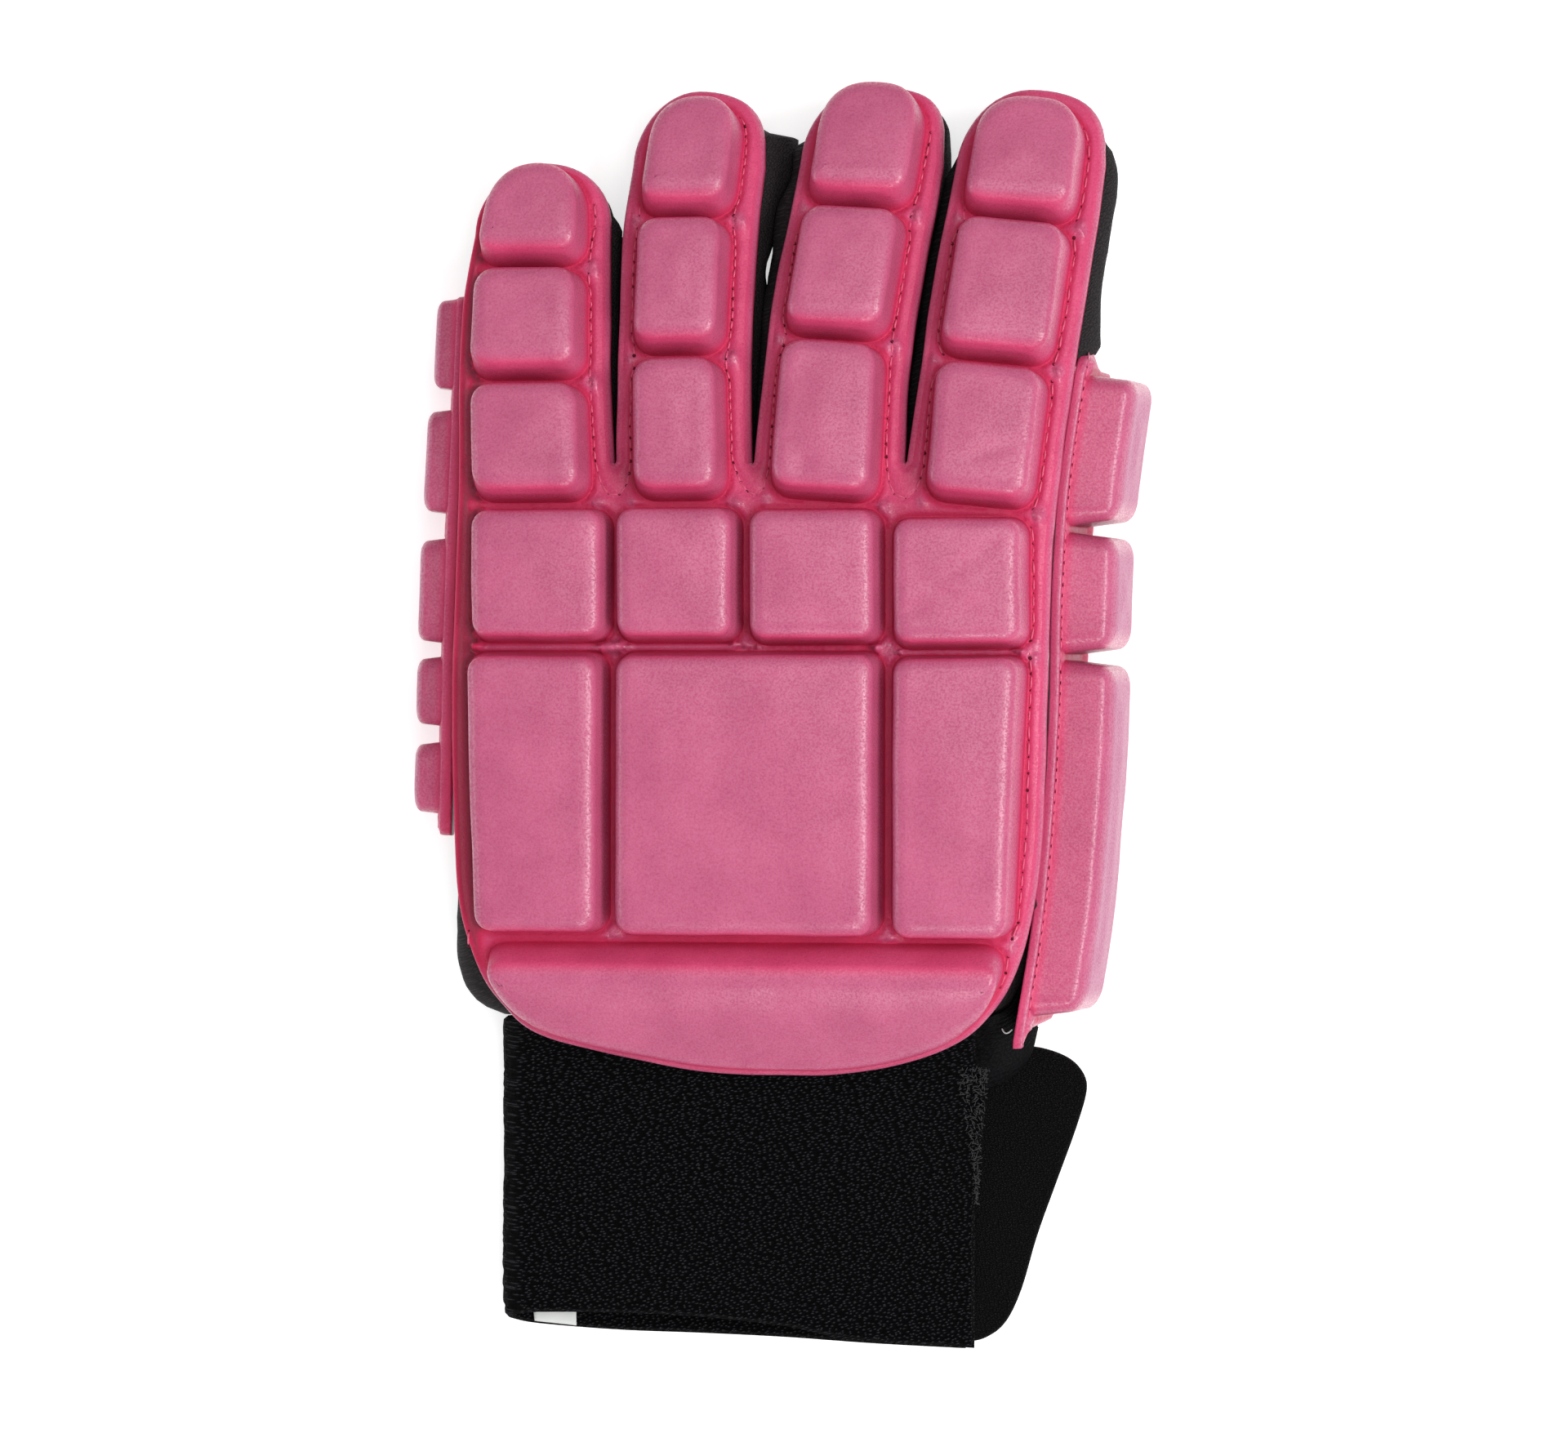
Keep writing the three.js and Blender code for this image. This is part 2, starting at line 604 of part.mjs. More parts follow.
function wristBand() {
  // A ribbon from the thumb side of the back, round the little-finger side, to the thumb side of the palm
  const turns = 12;
  const path = [];
  const side = BAND.fold;
  for (let k = 0; k <= turns; k += 1) path.push({ x: lerp(BAND.right, BAND.left + side, k / turns), up: 1 });
  [30, 60, 90, 120, 150].forEach((angle) => {
    path.push({
      x: BAND.left + side - side * Math.sin(radians(angle)),
      up: (1 + Math.cos(radians(angle))) / 2,
    });
  });
  for (let k = 0; k <= turns; k += 1) path.push({ x: lerp(BAND.left + side, STRAP.joint, k / turns), up: 0 });
  const lengths = [0, 0.12, 0.25, 0.45, 0.7, 1];
  const layer = (wall) => lengths.map((t) => path.map(({ x, up }) => {
    const along = (across) => lerp(BAND.start, bandEnd(across) - BAND.backLonger * (1 - up), t);
    const inside = THREE.MathUtils.clamp((x - (BAND.left + side)) / -side, 0, 1);
    const acrossX = x + wall * inside;
    const y = along(acrossX);
    const top = backHeight(acrossX, y) - SEAT - wall;
    return new THREE.Vector3(acrossX, y, lerp(wall, top, up));
  }));
  return thickSheet(layer(0), layer(BAND_CLOTH));
}

const STRAP = {
  lift: 0.3,
  joint: 36.8,                       // where the cuff's palm layer ends and the strap begins
  corners: [[37.2, -69.6], [55.2, -67.2], [64.0, -73.8], [50.8, -122.4], [42.8, -129.1], [37.2, -127.9]],
  radii: [0.5, 5.4, 4.6, 8, 3.2, 0.5],
};

function closingStrap() {
  const corners = STRAP.corners.map(([x, y]) => new THREE.Vector2(x, y)).reverse();
  const outline = rounded(corners, [...STRAP.radii].reverse(), 5);
  const layer = (z) => outline.map((p) => new THREE.Vector3(p.x, p.y, z));
  return stack([layer(STRAP.lift), layer(STRAP.lift + STRAP_CLOTH)]);
}

const LABEL = { left: -50.9, right: -42.6, high: -113, low: -125, thickness: 0.6, lift: 0.35 };

function sizeLabel() {
  const { left, right, high, low, thickness } = LABEL;
  const geometry = new THREE.BoxGeometry(right - left, high - low, thickness);
  return geometry.translate((left + right) / 2, (high + low) / 2, BAND_CLOTH + LABEL.lift + thickness / 2);
}

// Finishes

const finish = (color, roughness) => new THREE.MeshStandardMaterial({ color, roughness, metalness: 0 });
const pinkFoam = finish(0xd9648f, 0.5);
const blackCloth = finish(0x1c191b, 0.9);
const terry = finish(0x0e0e13, 0.95);
const nappedCloth = finish(0x121014, 0.8);
const whiteTag = finish(0xe8e8e6, 0.6);

// Assembly

function piece(name, geometry, material) {
  geometry.deleteAttribute('normal');
  geometry.deleteAttribute('uv');
  const mesh = new THREE.Mesh(geometry, material);
  mesh.name = name;
  return mesh;
}

const padding = new THREE.Group();
padding.add(
  piece('back_shell', backShell(), pinkFoam),
  piece('thumb_panel', thumbPanel(), pinkFoam),
  piece('side_strip', sideStrip(), pinkFoam),
);

const liner = new THREE.Group();
liner.add(piece('hand_sleeve', handSleeve(), blackCloth));
FINGERS.forEach((finger) => liner.add(piece(`${finger.name}_sleeve`, fingerSleeve(finger), blackCloth)));
liner.add(piece('thumb_sleeve', thumbSleeve(), blackCloth));

const cuff = new THREE.Group();
cuff.add(
  piece('wrist_band', wristBand(), terry),
  piece('closing_strap', closingStrap(), nappedCloth),
  piece('size_label', sizeLabel(), whiteTag),
);

const glove = new THREE.Group();
glove.add(padding, liner, cuff);

export default glove;
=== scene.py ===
# Indoor hockey glove for the left hand, lying palm down, seen from straight above.
# The tables hold millimetres, and the meshes are made in metres.
# +X points to the thumb side, +Y to the fingertips and +Z up, away from the palm.
import math

import bmesh
import bpy
import numpy as np
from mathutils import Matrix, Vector, kdtree
from mathutils.geometry import delaunay_2d_cdt


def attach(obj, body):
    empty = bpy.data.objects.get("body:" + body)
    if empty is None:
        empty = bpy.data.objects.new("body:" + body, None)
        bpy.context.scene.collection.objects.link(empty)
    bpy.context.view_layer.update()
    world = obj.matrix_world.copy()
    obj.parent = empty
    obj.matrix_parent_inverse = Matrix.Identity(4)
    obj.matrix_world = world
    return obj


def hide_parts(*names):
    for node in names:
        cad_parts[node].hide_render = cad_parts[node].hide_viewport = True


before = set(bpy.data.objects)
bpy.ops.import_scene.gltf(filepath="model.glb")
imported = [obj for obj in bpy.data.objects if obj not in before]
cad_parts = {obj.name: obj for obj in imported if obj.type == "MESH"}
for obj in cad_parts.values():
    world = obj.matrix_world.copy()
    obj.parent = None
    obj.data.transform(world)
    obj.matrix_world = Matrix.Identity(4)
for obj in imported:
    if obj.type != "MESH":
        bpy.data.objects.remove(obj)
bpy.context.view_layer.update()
MM = 0.001
random = np.random.default_rng(7)


# Sizes

def table(names, *rows):
    """Columns of a table by name, with its rows sorted by the first column."""
    return dict(zip(names.split(), np.array(sorted(rows), float).T))


SHEET = 3.0                  # thickness of the foam sheet between its raised blocks
FINGER_BLOCK = 9.0           # height of the blocks over the sheet
PANEL_BLOCK = 9.5
SIDE_BLOCK = 5.4
THUMB_SHEET = 2.0
THUMB_BLOCK = 10.4
DRAFT = math.radians(7)      # how far a block's walls lean in
EDGE = 2.0                   # height of a block's round edge
SOFTEN = 1.6                 # how much wider than high the round edge is
CORNER = 4.0                 # radius of a block's corners seen from above
GROOVE = 0.9                 # sheet between two blocks on a finger
WRIST_FLANGE = 2.4           # sheet round the wrist block
SEAT = 0.55                  # air between the foam and the cloth under it
CROWN = 0.0003               # how fast the back falls away on both sides

# Height of the foam's underside at x = 0, and its sideways slope in degrees
BACK = table(
    "y height roll",
    (-130, 12.0, 0.5), (-95, 14.0, 2.0), (-73.5, 17.8, 5.5), (-60, 23.2, 7.0), (-44, 28.8, 8.0),
    (-15, 31.0, 8.0), (14, 31.0, 7.0), (42, 29.4, 7.0), (66, 25.4, 7.0), (90, 20.5, 6.5),
    (110, 15.2, 6.0), (127, 9.4, 6.0),
)

# Edges of the four finger strips, the heights of their blocks' joints, and the joints' slant in degrees
# arc: how square the tip's left and right shoulders are
# margin: sheet to the left of the blocks at tip and root, and to their right
# above: sheet between the tip block and the tip
# crown: the tip block's round shoulders as shares of its width, across and along, left and right
FINGERS = {
    "little": dict(tip=112.5, slant=0, joints=(90.3, 67.0, 42.2), arc=(1.1, 0.7),
                   margin=(1.4, 3.6, 4.3), above=1.8, crown=(0.5, 0.55, 0.44, 0.46), strip=table(
        "y left right", (42, -65.9, -33.8), (50, -66.0, -34.1), (66, -66.0, -35.0), (82, -65.5, -35.1),
        (90, -64.4, -35.1), (98, -62.9, -35.1))),
    "ring": dict(tip=127.4, slant=0, joints=(100.0, 71.9, 42.4), arc=(1.2, 0.5),
                 margin=(2.9, 3.6, 4.8), above=3.6, crown=(0.48, 0.5, 0.42, 0.42), strip=table(
        "y left right", (42, -33.4, -5.6), (50, -33.85, -6.2), (68, -33.6, -6.4), (88, -33.0, -5.8),
        (100, -32.4, -4.9), (112, -30.6, -3.5))),
    "middle": dict(tip=128.2, slant=-4, joints=(101.6, 74.9, 42.3), arc=(1.2, 0.4),
                   margin=(2.8, 3.5, 4.7), above=1.8, crown=(0.46, 0.46, 0.4, 0.4), strip=table(
        "y left right", (42, -6.0, 24.5), (50, -5.95, 24.75), (68, -4.0, 25.5), (88, -1.4, 28.5),
        (100, 1.2, 30.8), (113, 3.8, 33.1))),
    "index": dict(tip=127.2, slant=-6, joints=(98.8, 70.0, 41.2), arc=(1.35, 0.55),
                  margin=(3.0, 3.7, 4.4), above=4.1, crown=(0.43, 0.43, 0.38, 0.38), strip=table(
        "y left right", (42, 24.9, 55.3), (50, 25.0, 56.2), (68, 27.6, 58.8), (88, 30.6, 62.0),
        (100, 33.0, 64.2), (112, 35.4, 65.8))),
}
SLIT_END = 51.5              # where the slits between the fingers end

# Edges of the back of the hand, from the knuckles down to the wrist's round end
HAND = [
    (28, -66.5, 54.1), (0, -67.3, 53.2), (-22, -66.8, 52.5), (-38, -65.8, 50.8), (-50, -62.5, 47.8),
    (-58, -57.7, 44.0), (-65, -49.0, 37.0), (-70, -29.0, 25.5), (-72.8, -12.0, 11.0),
]
HAND_EDGE = table("y left right", *HAND)

# Blocks over the knuckles and the back of the hand: left and right at the top, heights, left and right below
PANELS = [
    (-62.4, -34.0, 41.3, 14.5, -62.4, -34.0, FINGER_BLOCK),
    (-33.1, -7.8, 41.5, 14.4, -33.1, -7.8, FINGER_BLOCK),
    (-6.4, 20.8, 41.2, 13.9, -6.4, 20.8, FINGER_BLOCK),
    (22.4, 50.0, 39.4, 13.0, 22.4, 50.0, FINGER_BLOCK),
    (-63.4, -34.6, 12.8, -43.6, -61.6, -34.6, PANEL_BLOCK),
    (-33.2, 20.8, 12.7, -44.0, -33.2, 20.8, PANEL_BLOCK),
    (22.3, 49.7, 11.8, -44.4, 22.3, 47.0, PANEL_BLOCK),
]
WRIST_BLOCK_TOP = -45.6      # height of the wrist block's upper side

# Sewn lines beside the blocks, with the distance between their needle holes
SEAMS = [
    (2.4, [(-38.4, 103.6), (-38.0, 99.9), (-38.8, 95.2), (-39.3, 88), (-38.9, 78.8), (-39.0, 70.6),
           (-38.6, 62), (-38.3, 54.2), (-36.9, 47.3), (-35.4, 44.6), (-33.9, 43.9), (-32.4, 44.6),
           (-31.2, 47.3), (-30.7, 52), (-30.8, 58.4), (-30.2, 65.9), (-29.9, 75), (-29.7, 86),
           (-29.5, 97.9), (-28.4, 103.5)]),
    (2.1, [(-9.6, 120.6), (-7.9, 117.6), (-8.0, 109.7), (-8.6, 105.6), (-9.7, 100.8), (-9.8, 94.9),
           (-9.9, 81.9), (-10.6, 74.9), (-11.5, 68.2), (-11.3, 61), (-10.6, 54.1), (-8.7, 47.6),
           (-7.0, 44.8), (-5.2, 44.0), (-3.6, 45.6), (-2.9, 48.6), (-2.2, 52.5), (-1.3, 60.5),
           (-0.1, 71.5), (1.0, 77.8), (2.7, 88), (4.2, 97)]),
    (2.6, [(30.4, 117.9), (28.9, 110.5), (27.9, 105.8), (26.5, 101), (25.0, 94.6), (23.9, 87.2),
           (22.8, 77.7), (22.0, 68.8), (21.5, 60), (21.2, 53.5), (21.6, 46.5), (23.2, 43.7), (25.2, 43.4),
           (27.2, 45.2), (28.6, 50), (29.9, 58.1), (31.0, 63.1), (32.4, 69.6), (33.6, 78), (35.6, 90),
           (37.5, 102.1)]),
    (3.3, [(61.0, 118.2), (62.4, 114.9), (61.8, 107.9), (60.5, 102), (59.1, 94.4), (58.3, 87),
           (57.6, 80.3), (56.4, 75.3), (54.9, 69.5), (53.9, 58.5), (53.0, 52.2), (52.0, 45.6),
           (50.7, 40.4), (50.1, 35.2), (50.7, 29.9), (50.6, 23.6), (50.2, 15.7), (50.0, 10), (49.9, 3.9),
           (49.6, -9.2), (49.4, -20.4), (48.7, -30.3), (47.8, -40.2), (46.4, -44.8), (45.0, -50.1),
           (43.4, -53.6)]),
    (2.5, [(-63.6, -43.6), (-63.7, -46.6)]),
]

# Beads of foam in the groove below the knuckles: left and right end, place, rise
RIDGES = [(-62.5, -9, 13.6, 3.2), (-5, 20, 13.3, 3.2), (24, 49, 12.4, 3.2)]

# Soft dents and folds in the blocks' faces: place, half length, half width, direction in degrees, depth
DENTS = [
    (35, 28.5, 5.5, 1.7, 32, 0.42), (41.5, 32.5, 4.5, 1.8, 46, 0.35), (28, 21, 4, 1.6, 20, 0.45),
    (33, 24, 3.5, 1.3, -20, 0.3), (39, 21, 5, 1.5, 40, 0.3),
    (5, 48.5, 2.6, 2.4, 0, 0.5), (42, 51, 5.5, 1.6, 15, 0.5), (-18, 60, 6, 4, 40, 0.3),
    (-52, 82, 6, 3, 30, 0.25),
]

# Panels beside the hand: height of the top edge, margin round the blocks, upper and lower ends of the blocks,
# and the top edge's run along the hand
THUMB = dict(
    lean=math.radians(14), top=29.5, width=28.6, margin=2.2,
    blocks=((68.9, 38.4), (36.9, 12.4), (10.9, -61.4)),
    edge=table("y x", (-66.5, 46.5), (-38, 50.9), (-4, 53.5), (25, 54.3), (46, 55.7), (72.4, 59.5)))
SIDE = dict(
    thickness=2.4, top=19.5, bottom=0.8, margin=1.8, heights=(4.2, 5.1, 5.4, 5.4, 5.4),
    blocks=((85.4, 66.7), (62.5, 41.2), (36.1, 14.6), (11.9, -2.4), (-5.6, -20.4)),
    edge=table("y x", (-24.8, -67.9), (20, -66.9), (85.4, -64.5)))
SIDE_ENDS = (-24.8, 86.0)


# Curves and surfaces

def smooth(rows, key, at):
    """A table's column at any height, on a smooth curve through its rows."""
    y, v = rows["y"], rows[key]
    at = np.asarray(at, float)
    last = len(y) - 1
    low, high = np.maximum(np.arange(last + 1) - 1, 0), np.minimum(np.arange(last + 1) + 1, last)
    slope = (v[high] - v[low]) / (y[high] - y[low])
    i = np.clip(np.searchsorted(y, at, side="right") - 1, 0, last - 1)
    span = y[i + 1] - y[i]
    t = np.clip((at - y[i]) / span, 0, 1)
    ease = t * t * (3 - 2 * t)
    value = (v[i] * (1 - ease) + v[i + 1] * ease
             + span * (slope[i] * t * (1 - t) ** 2 - slope[i + 1] * t * t * (1 - t)))
    return np.where(at > y[-1], v[-1] + (v[-1] - v[-2]) / (y[-1] - y[-2]) * (at - y[-1]), value)


def ramp(value, low, high):
    """Smooth step from 0 at low to 1 at high."""
    t = np.clip((np.asarray(value, float) - low) / (high - low), 0, 1)
    return t * t * (3 - 2 * t)


def noise(x, y, cell, seed=0):
    """Smooth noise from -1 to 1 over the plane, with features one cell wide."""
    gx, gy = np.asarray(x, float) / cell, np.asarray(y, float) / cell
    ix, iy = np.floor(gx), np.floor(gy)
    fx, fy = gx - ix, gy - iy
    fx, fy = fx * fx * (3 - 2 * fx), fy * fy * (3 - 2 * fy)

    def corner(i, j):
        h = np.sin((ix + i) * 127.1 + (iy + j) * 311.7 + seed * 74.7) * 43758.5453
        return (h - np.floor(h)) * 2 - 1
    low = corner(0, 0) * (1 - fx) + corner(1, 0) * fx
    high = corner(0, 1) * (1 - fx) + corner(1, 1) * fx
    return low * (1 - fy) + high * fy


def unevenness(points, cell, first, second):
    """Small shifts of points in the flat."""
    x, y = points[:, 0], points[:, 1]
    return 0.12 * np.column_stack([noise(y, x, cell, first), noise(x, y, cell, second)])


def back_height(x, y):
    """Underside of the foam over the back of the hand."""
    return smooth(BACK, "height", y) + np.tan(np.radians(smooth(BACK, "roll", y))) * x - CROWN * x * x


def back_place(x, y, h):
    """Points h above the back's surface, along its normal."""
    across = (back_height(x + 0.5, y) - back_height(x - 0.5, y))
    along = (back_height(x, y + 0.5) - back_height(x, y - 0.5))
    size = np.sqrt(across ** 2 + along ** 2 + 1)
    return np.stack([x - across * h / size, y - along * h / size, back_height(x, y) + h / size], -1)


def standing_place(side, out, lean, top):
    """A panel beside the hand: x of the flat runs down from its top edge, h out from the hand."""
    def place(u, v, h):
        x = smooth(side["edge"], "x", v)
        return np.stack([
            x + out * (u * math.sin(lean) + h * math.cos(lean)), v + 0 * u,
            top - u * math.cos(lean) + h * math.sin(lean)], -1)
    return place


thumb_place = standing_place(THUMB, 1, THUMB["lean"], THUMB["top"])
side_place = standing_place(SIDE, -1, 0, SIDE["top"])


# Outlines in the flat

def unit(v):
    """Vectors of length 1."""
    return v / np.maximum(np.linalg.norm(v, axis=-1, keepdims=True), 1e-9)


def inset(corners, distance):
    """A counter-clockwise polygon with its sides moved in."""
    corners = np.asarray(corners, float)
    arriving = unit(corners - np.roll(corners, 1, 0))
    leaving = unit(np.roll(corners, -1, 0) - corners)
    turn = np.stack([-arriving[:, 1] - leaving[:, 1], arriving[:, 0] + leaving[:, 0]], 1)
    return corners + turn * distance / (1 + (arriving * leaving).sum(1, keepdims=True))


def ring_of(corners, radii, distance, counts, turns=8, square=0.6):
    """Points round a polygon moved in, with round corners.

    radii: one for each corner, or a pair for the sides before and after it.
    counts: steps along each side. square: how full the corners are."""
    moved = inset(corners, distance)
    n = len(moved)
    pair = [np.maximum(np.atleast_1d(r) * np.ones(2) - 0.55 * distance, 0.9) for r in radii]
    starts, ends = [], []
    for k in range(n):
        starts.append(moved[k] + unit(moved[k - 1] - moved[k]) * pair[k][0])
        ends.append(moved[k] + unit(moved[(k + 1) % n] - moved[k]) * pair[k][1])
    points = []
    for k in range(n):
        a, d, corner = starts[k], ends[k], moved[k]
        b, c = a + (corner - a) * square, d + (corner - d) * square
        for t in np.linspace(0, 1, turns + 1):
            points.append(a * (1 - t) ** 3 + b * 3 * t * (1 - t) ** 2 + c * 3 * t * t * (1 - t) + d * t ** 3)
        after = starts[(k + 1) % n]
        points += [d + (after - d) * s / counts[k] for s in range(1, counts[k])]
    return np.array(points)


def rounded_loop(corners, radii, spacing=1.0):
    """Points round a polygon with round corners."""
    corners = np.asarray(corners, float)
    sides = np.linalg.norm(np.roll(corners, -1, 0) - corners, axis=1)
    return ring_of(corners, radii, 0, [max(2, int(round(s / spacing))) for s in sides], turns=6)


def spline(points, spacing):
    """Evenly spaced points on a smooth curve through some points."""
    p = np.asarray(points, float)
    p = np.concatenate([2 * p[:1] - p[1:2], p, 2 * p[-1:] - p[-2:-1]])
    fine = []
    for k in range(1, len(p) - 2):
        for t in np.linspace(0, 1, 24, endpoint=False):
            fine.append(0.5 * (2 * p[k] + (p[k + 1] - p[k - 1]) * t
                               + (2 * p[k - 1] - 5 * p[k] + 4 * p[k + 1] - p[k + 2]) * t * t
                               + (3 * p[k] - p[k - 1] - 3 * p[k + 1] + p[k + 2]) * t ** 3))
    fine.append(p[-2])
    return resample(np.array(fine), spacing)


def resample(line, spacing):
    """Evenly spaced points on an open line."""
    steps = np.linalg.norm(np.diff(line, axis=0), axis=1)
    along = np.concatenate([[0], np.cumsum(steps)])
    count = max(2, int(round(along[-1] / spacing)) + 1)
    at = np.linspace(0, along[-1], count)
    return np.stack([np.interp(at, along, line[:, k]) for k in range(line.shape[1])], 1)


def closed_line(loop, spacing):
    """Evenly spaced points on a closed line."""
    return resample(np.concatenate([loop, loop[:1]]), spacing)[:-1]


def softened(loop, times):
    """A closed loop with its kinks evened out."""
    for _ in range(times):
        loop = (np.roll(loop, 1, 0) + 2 * loop + np.roll(loop, -1, 0)) / 4
    return loop


def offset(loop, distance):
    """A dense counter-clockwise loop moved in along its normals."""
    tangent = unit(np.roll(loop, -1, 0) - np.roll(loop, 1, 0))
    return loop + np.stack([-tangent[:, 1], tangent[:, 0]], 1) * distance


def inside(points, loop):
    """Which points lie in a closed loop."""
    result = np.zeros(len(points), bool)
    low, high = loop.min(0), loop.max(0)
    near = np.where(((points >= low) & (points <= high)).all(1))[0]
    x, y = points[near, 0], points[near, 1]
    hit = np.zeros(len(near), bool)
    for a, b in zip(loop, np.roll(loop, -1, 0)):
        if a[1] != b[1]:
            crosses = (a[1] > y) != (b[1] > y)
            hit ^= crosses & (x < (b[0] - a[0]) * (y - a[1]) / (b[1] - a[1]) + a[0])
    result[near] = hit
    return result


def tree_of(points):
    """Search tree of points in the flat."""
    tree = kdtree.KDTree(len(points))
    for k, p in enumerate(points):
        tree.insert((p[0], p[1], 0), k)
    tree.balance()
    return tree


def distance_to(tree, points):
    """Distance of each point to the nearest point of a tree."""
    return np.array([tree.find((p[0], p[1], 0))[2] for p in points])


# Meshes

def ring_quads(m, n):
    """Faces of m closed rings with n points each."""
    grid = np.arange(m * n).reshape(m, n)
    after = np.roll(grid, -1, 1)
    return np.stack([grid[:-1], after[:-1], after[1:], grid[1:]], -1).reshape(-1, 4)


class Body:
    """Points with some columns of values, and faces between them."""

    def __init__(self):
        self.points, self.faces, self.count = [], [], 0

    def add(self, points, faces):
        self.faces += (np.asarray(faces) + self.count).tolist() if len(faces) else []
        self.points.append(points)
        self.count += len(points)

    def close(self, ring, centre):
        """Triangles from a ring of points to its centre."""
        after = list(ring[1:]) + [ring[0]]
        self.points.append(np.asarray(centre, float)[None])
        self.faces += [[int(a), int(b), self.count] for a, b in zip(ring, after)]
        self.count += 1

    def loft(self, rings, cap=None):
        """Faces between rings with the same number of points. cap closes the last ring on a point."""
        m, n = len(rings), len(rings[0])
        self.add(np.concatenate(rings), ring_quads(m, n))
        if cap is not None:
            self.close(range(self.count - n, self.count), cap)

    def all(self):
        return np.concatenate(self.points)


def two_faced(upper, lower):
    """A sheet between two grids of points, closed round its rim."""
    m, n = upper.shape[:2]
    grid = np.arange(m * n).reshape(m, n)
    quads = np.stack([grid[:-1, :-1], grid[1:, :-1], grid[1:, 1:], grid[:-1, 1:]], -1).reshape(-1, 4)
    body = Body()
    body.add(upper.reshape(-1, 3), quads)
    body.add(lower.reshape(-1, 3), quads[:, ::-1])
    rim = np.concatenate([grid[0, :], grid[1:, -1], grid[-1, -2::-1], grid[-2:0:-1, 0]])
    after = np.roll(rim, -1)
    body.faces += np.stack([rim, after, after + m * n, rim + m * n], -1).tolist()
    return body


def make_piece(name, points, faces, material, values=None, weld=2e-6):
    """A mesh piece from points in millimetres. values are shares kept on the points for the material."""
    mesh = bpy.data.meshes.new(name)
    mesh.from_pydata((np.asarray(points)[:, :3] * MM).tolist(), [], faces)
    for label, data in (values or {}).items():
        layer = mesh.attributes.new(label, "FLOAT", "POINT")
        layer.data.foreach_set("value", np.asarray(data, np.float32))
    if weld:
        body = bmesh.new()
        body.from_mesh(mesh)
        bmesh.ops.remove_doubles(body, verts=body.verts, dist=weld)
        bmesh.ops.recalc_face_normals(body, faces=body.faces)
        body.to_mesh(mesh)
        body.free()
    mesh.polygons.foreach_set("use_smooth", [True] * len(mesh.polygons))
    mesh.materials.append(material)
    piece = bpy.data.objects.new(name, mesh)
    bpy.context.scene.collection.objects.link(piece)
    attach(piece, "root")
    return piece


# Foam

class Block(list):
    """A block's rings, with the seed of its unevenness and how much lower its lower end is."""

    def __init__(self, rings, seed, taper):
        super().__init__(rings)
        self.seed, self.taper = seed, taper
        self.low, self.high = rings[0][:, 1].min(), rings[0][:, 1].max()

    def share(self, y):
        """Share of the block's full height."""
        return 1 - self.taper * (1 - ramp(y, self.low, self.high - 6))


def block_rings(corners, radii, height, spacing, seed, edge=EDGE, slope=(0, 0, 0), taper=0):
    """Rings of a raised block's wall in the flat: columns x, y, height over the sheet and share of face, a
    colour mask that carries painted light and shade.

    slope: how much further the lower, right and upper walls lean in.
    taper: how much lower the block is at its lower end, as a share of its height."""
    corners = np.asarray(corners, float)
    sides = np.linalg.norm(np.roll(corners, -1, 0) - corners, axis=1)
    counts = [max(3, int(round(s / spacing))) for s in sides]
    dense = radii is None
    wall = height - edge
    lean = wall * math.tan(DRAFT)
    levels = [(-0.2, 0), (-0.07, 0.1), (0, 0.4)] + [(lean * t, wall * t) for t in (0.25, 0.5, 0.75, 1)]
    # Painted shade: the walls' colour is deeper towards their foot, and the round edge takes the face's paler
    # painted sheen.
    levels = [(d, h, -0.8 + 0.8 * ramp(h, 0, 4)) for d, h in levels]
    for angle in np.radians((12, 24, 36, 47, 57, 66, 74, 82, 90)):
        levels.append((lean + SOFTEN * edge * (1 - math.cos(angle)), wall + edge * math.sin(angle),
                       ramp(angle, 0.25, 1.0) * 1.1 - 0.1))
    rings = []
    for distance, h, face in levels:
        ring = offset(corners, distance) if dense else ring_of(corners, radii, distance, counts)
        swell = 0.13 * noise(ring[:, 0], ring[:, 1], 9, seed) * min(1, h)
        ring = offset(ring, -swell[:, None] if h > 0 else 0.0)
        share = max(0, h / height) ** 2.5
        low, high, right = ring[:, 1].min(), ring[:, 1].max(), ring[:, 0].max()
        ring = ring + share * np.column_stack([
            -slope[1] * np.clip(1 - (right - ring[:, 0]) / 9, 0, 1) ** 2,
            slope[0] * np.clip(1 - (ring[:, 1] - low) / 9, 0, 1) ** 2
            - slope[2] * np.clip(1 - (high - ring[:, 1]) / 8, 0, 1) ** 2])
        soft = ramp(h, height - edge, height) * face_swell(ring, seed)
        facing = unit(np.roll(ring, -1, 0) - np.roll(ring, 1, 0))[:, 1]
        # Painted light: walls that face right take the paler lit colour, and the tops of walls that face left
        # a thin painted highlight.
        lit = (0.85 * np.clip(facing, 0, 1) * ramp(h, 0.3, 3)
               + 0.9 * ramp(-facing, 0.3, 0.9) * ramp(h, wall + 0.1, wall + 0.5))
        rings.append(np.column_stack([ring, h + soft, face + (1 - face) * lit]))
    return Block(rings, seed, taper)


def face_swell(points, seed):
    """Soft unevenness of a block's face."""
    x, y = points[:, 0], points[:, 1]
    return 0.16 * noise(x, y, 12, seed) + 0.07 * noise(x, y, 5, seed)


def dented(points, height, dents, from_height):
    """Heights of points pushed in at the dents."""
    for x, y, long, wide, turn, depth in dents:
        c, t = math.cos(math.radians(turn)), math.sin(math.radians(turn))
        dx, dy = points[:, 0] - x, points[:, 1] - y
        push = np.exp(-((dx * c + dy * t) / long) ** 2 - ((dy * c - dx * t) / wide) ** 2)
        height = height - depth * push * ramp(height, from_height, from_height + 4)
    return height


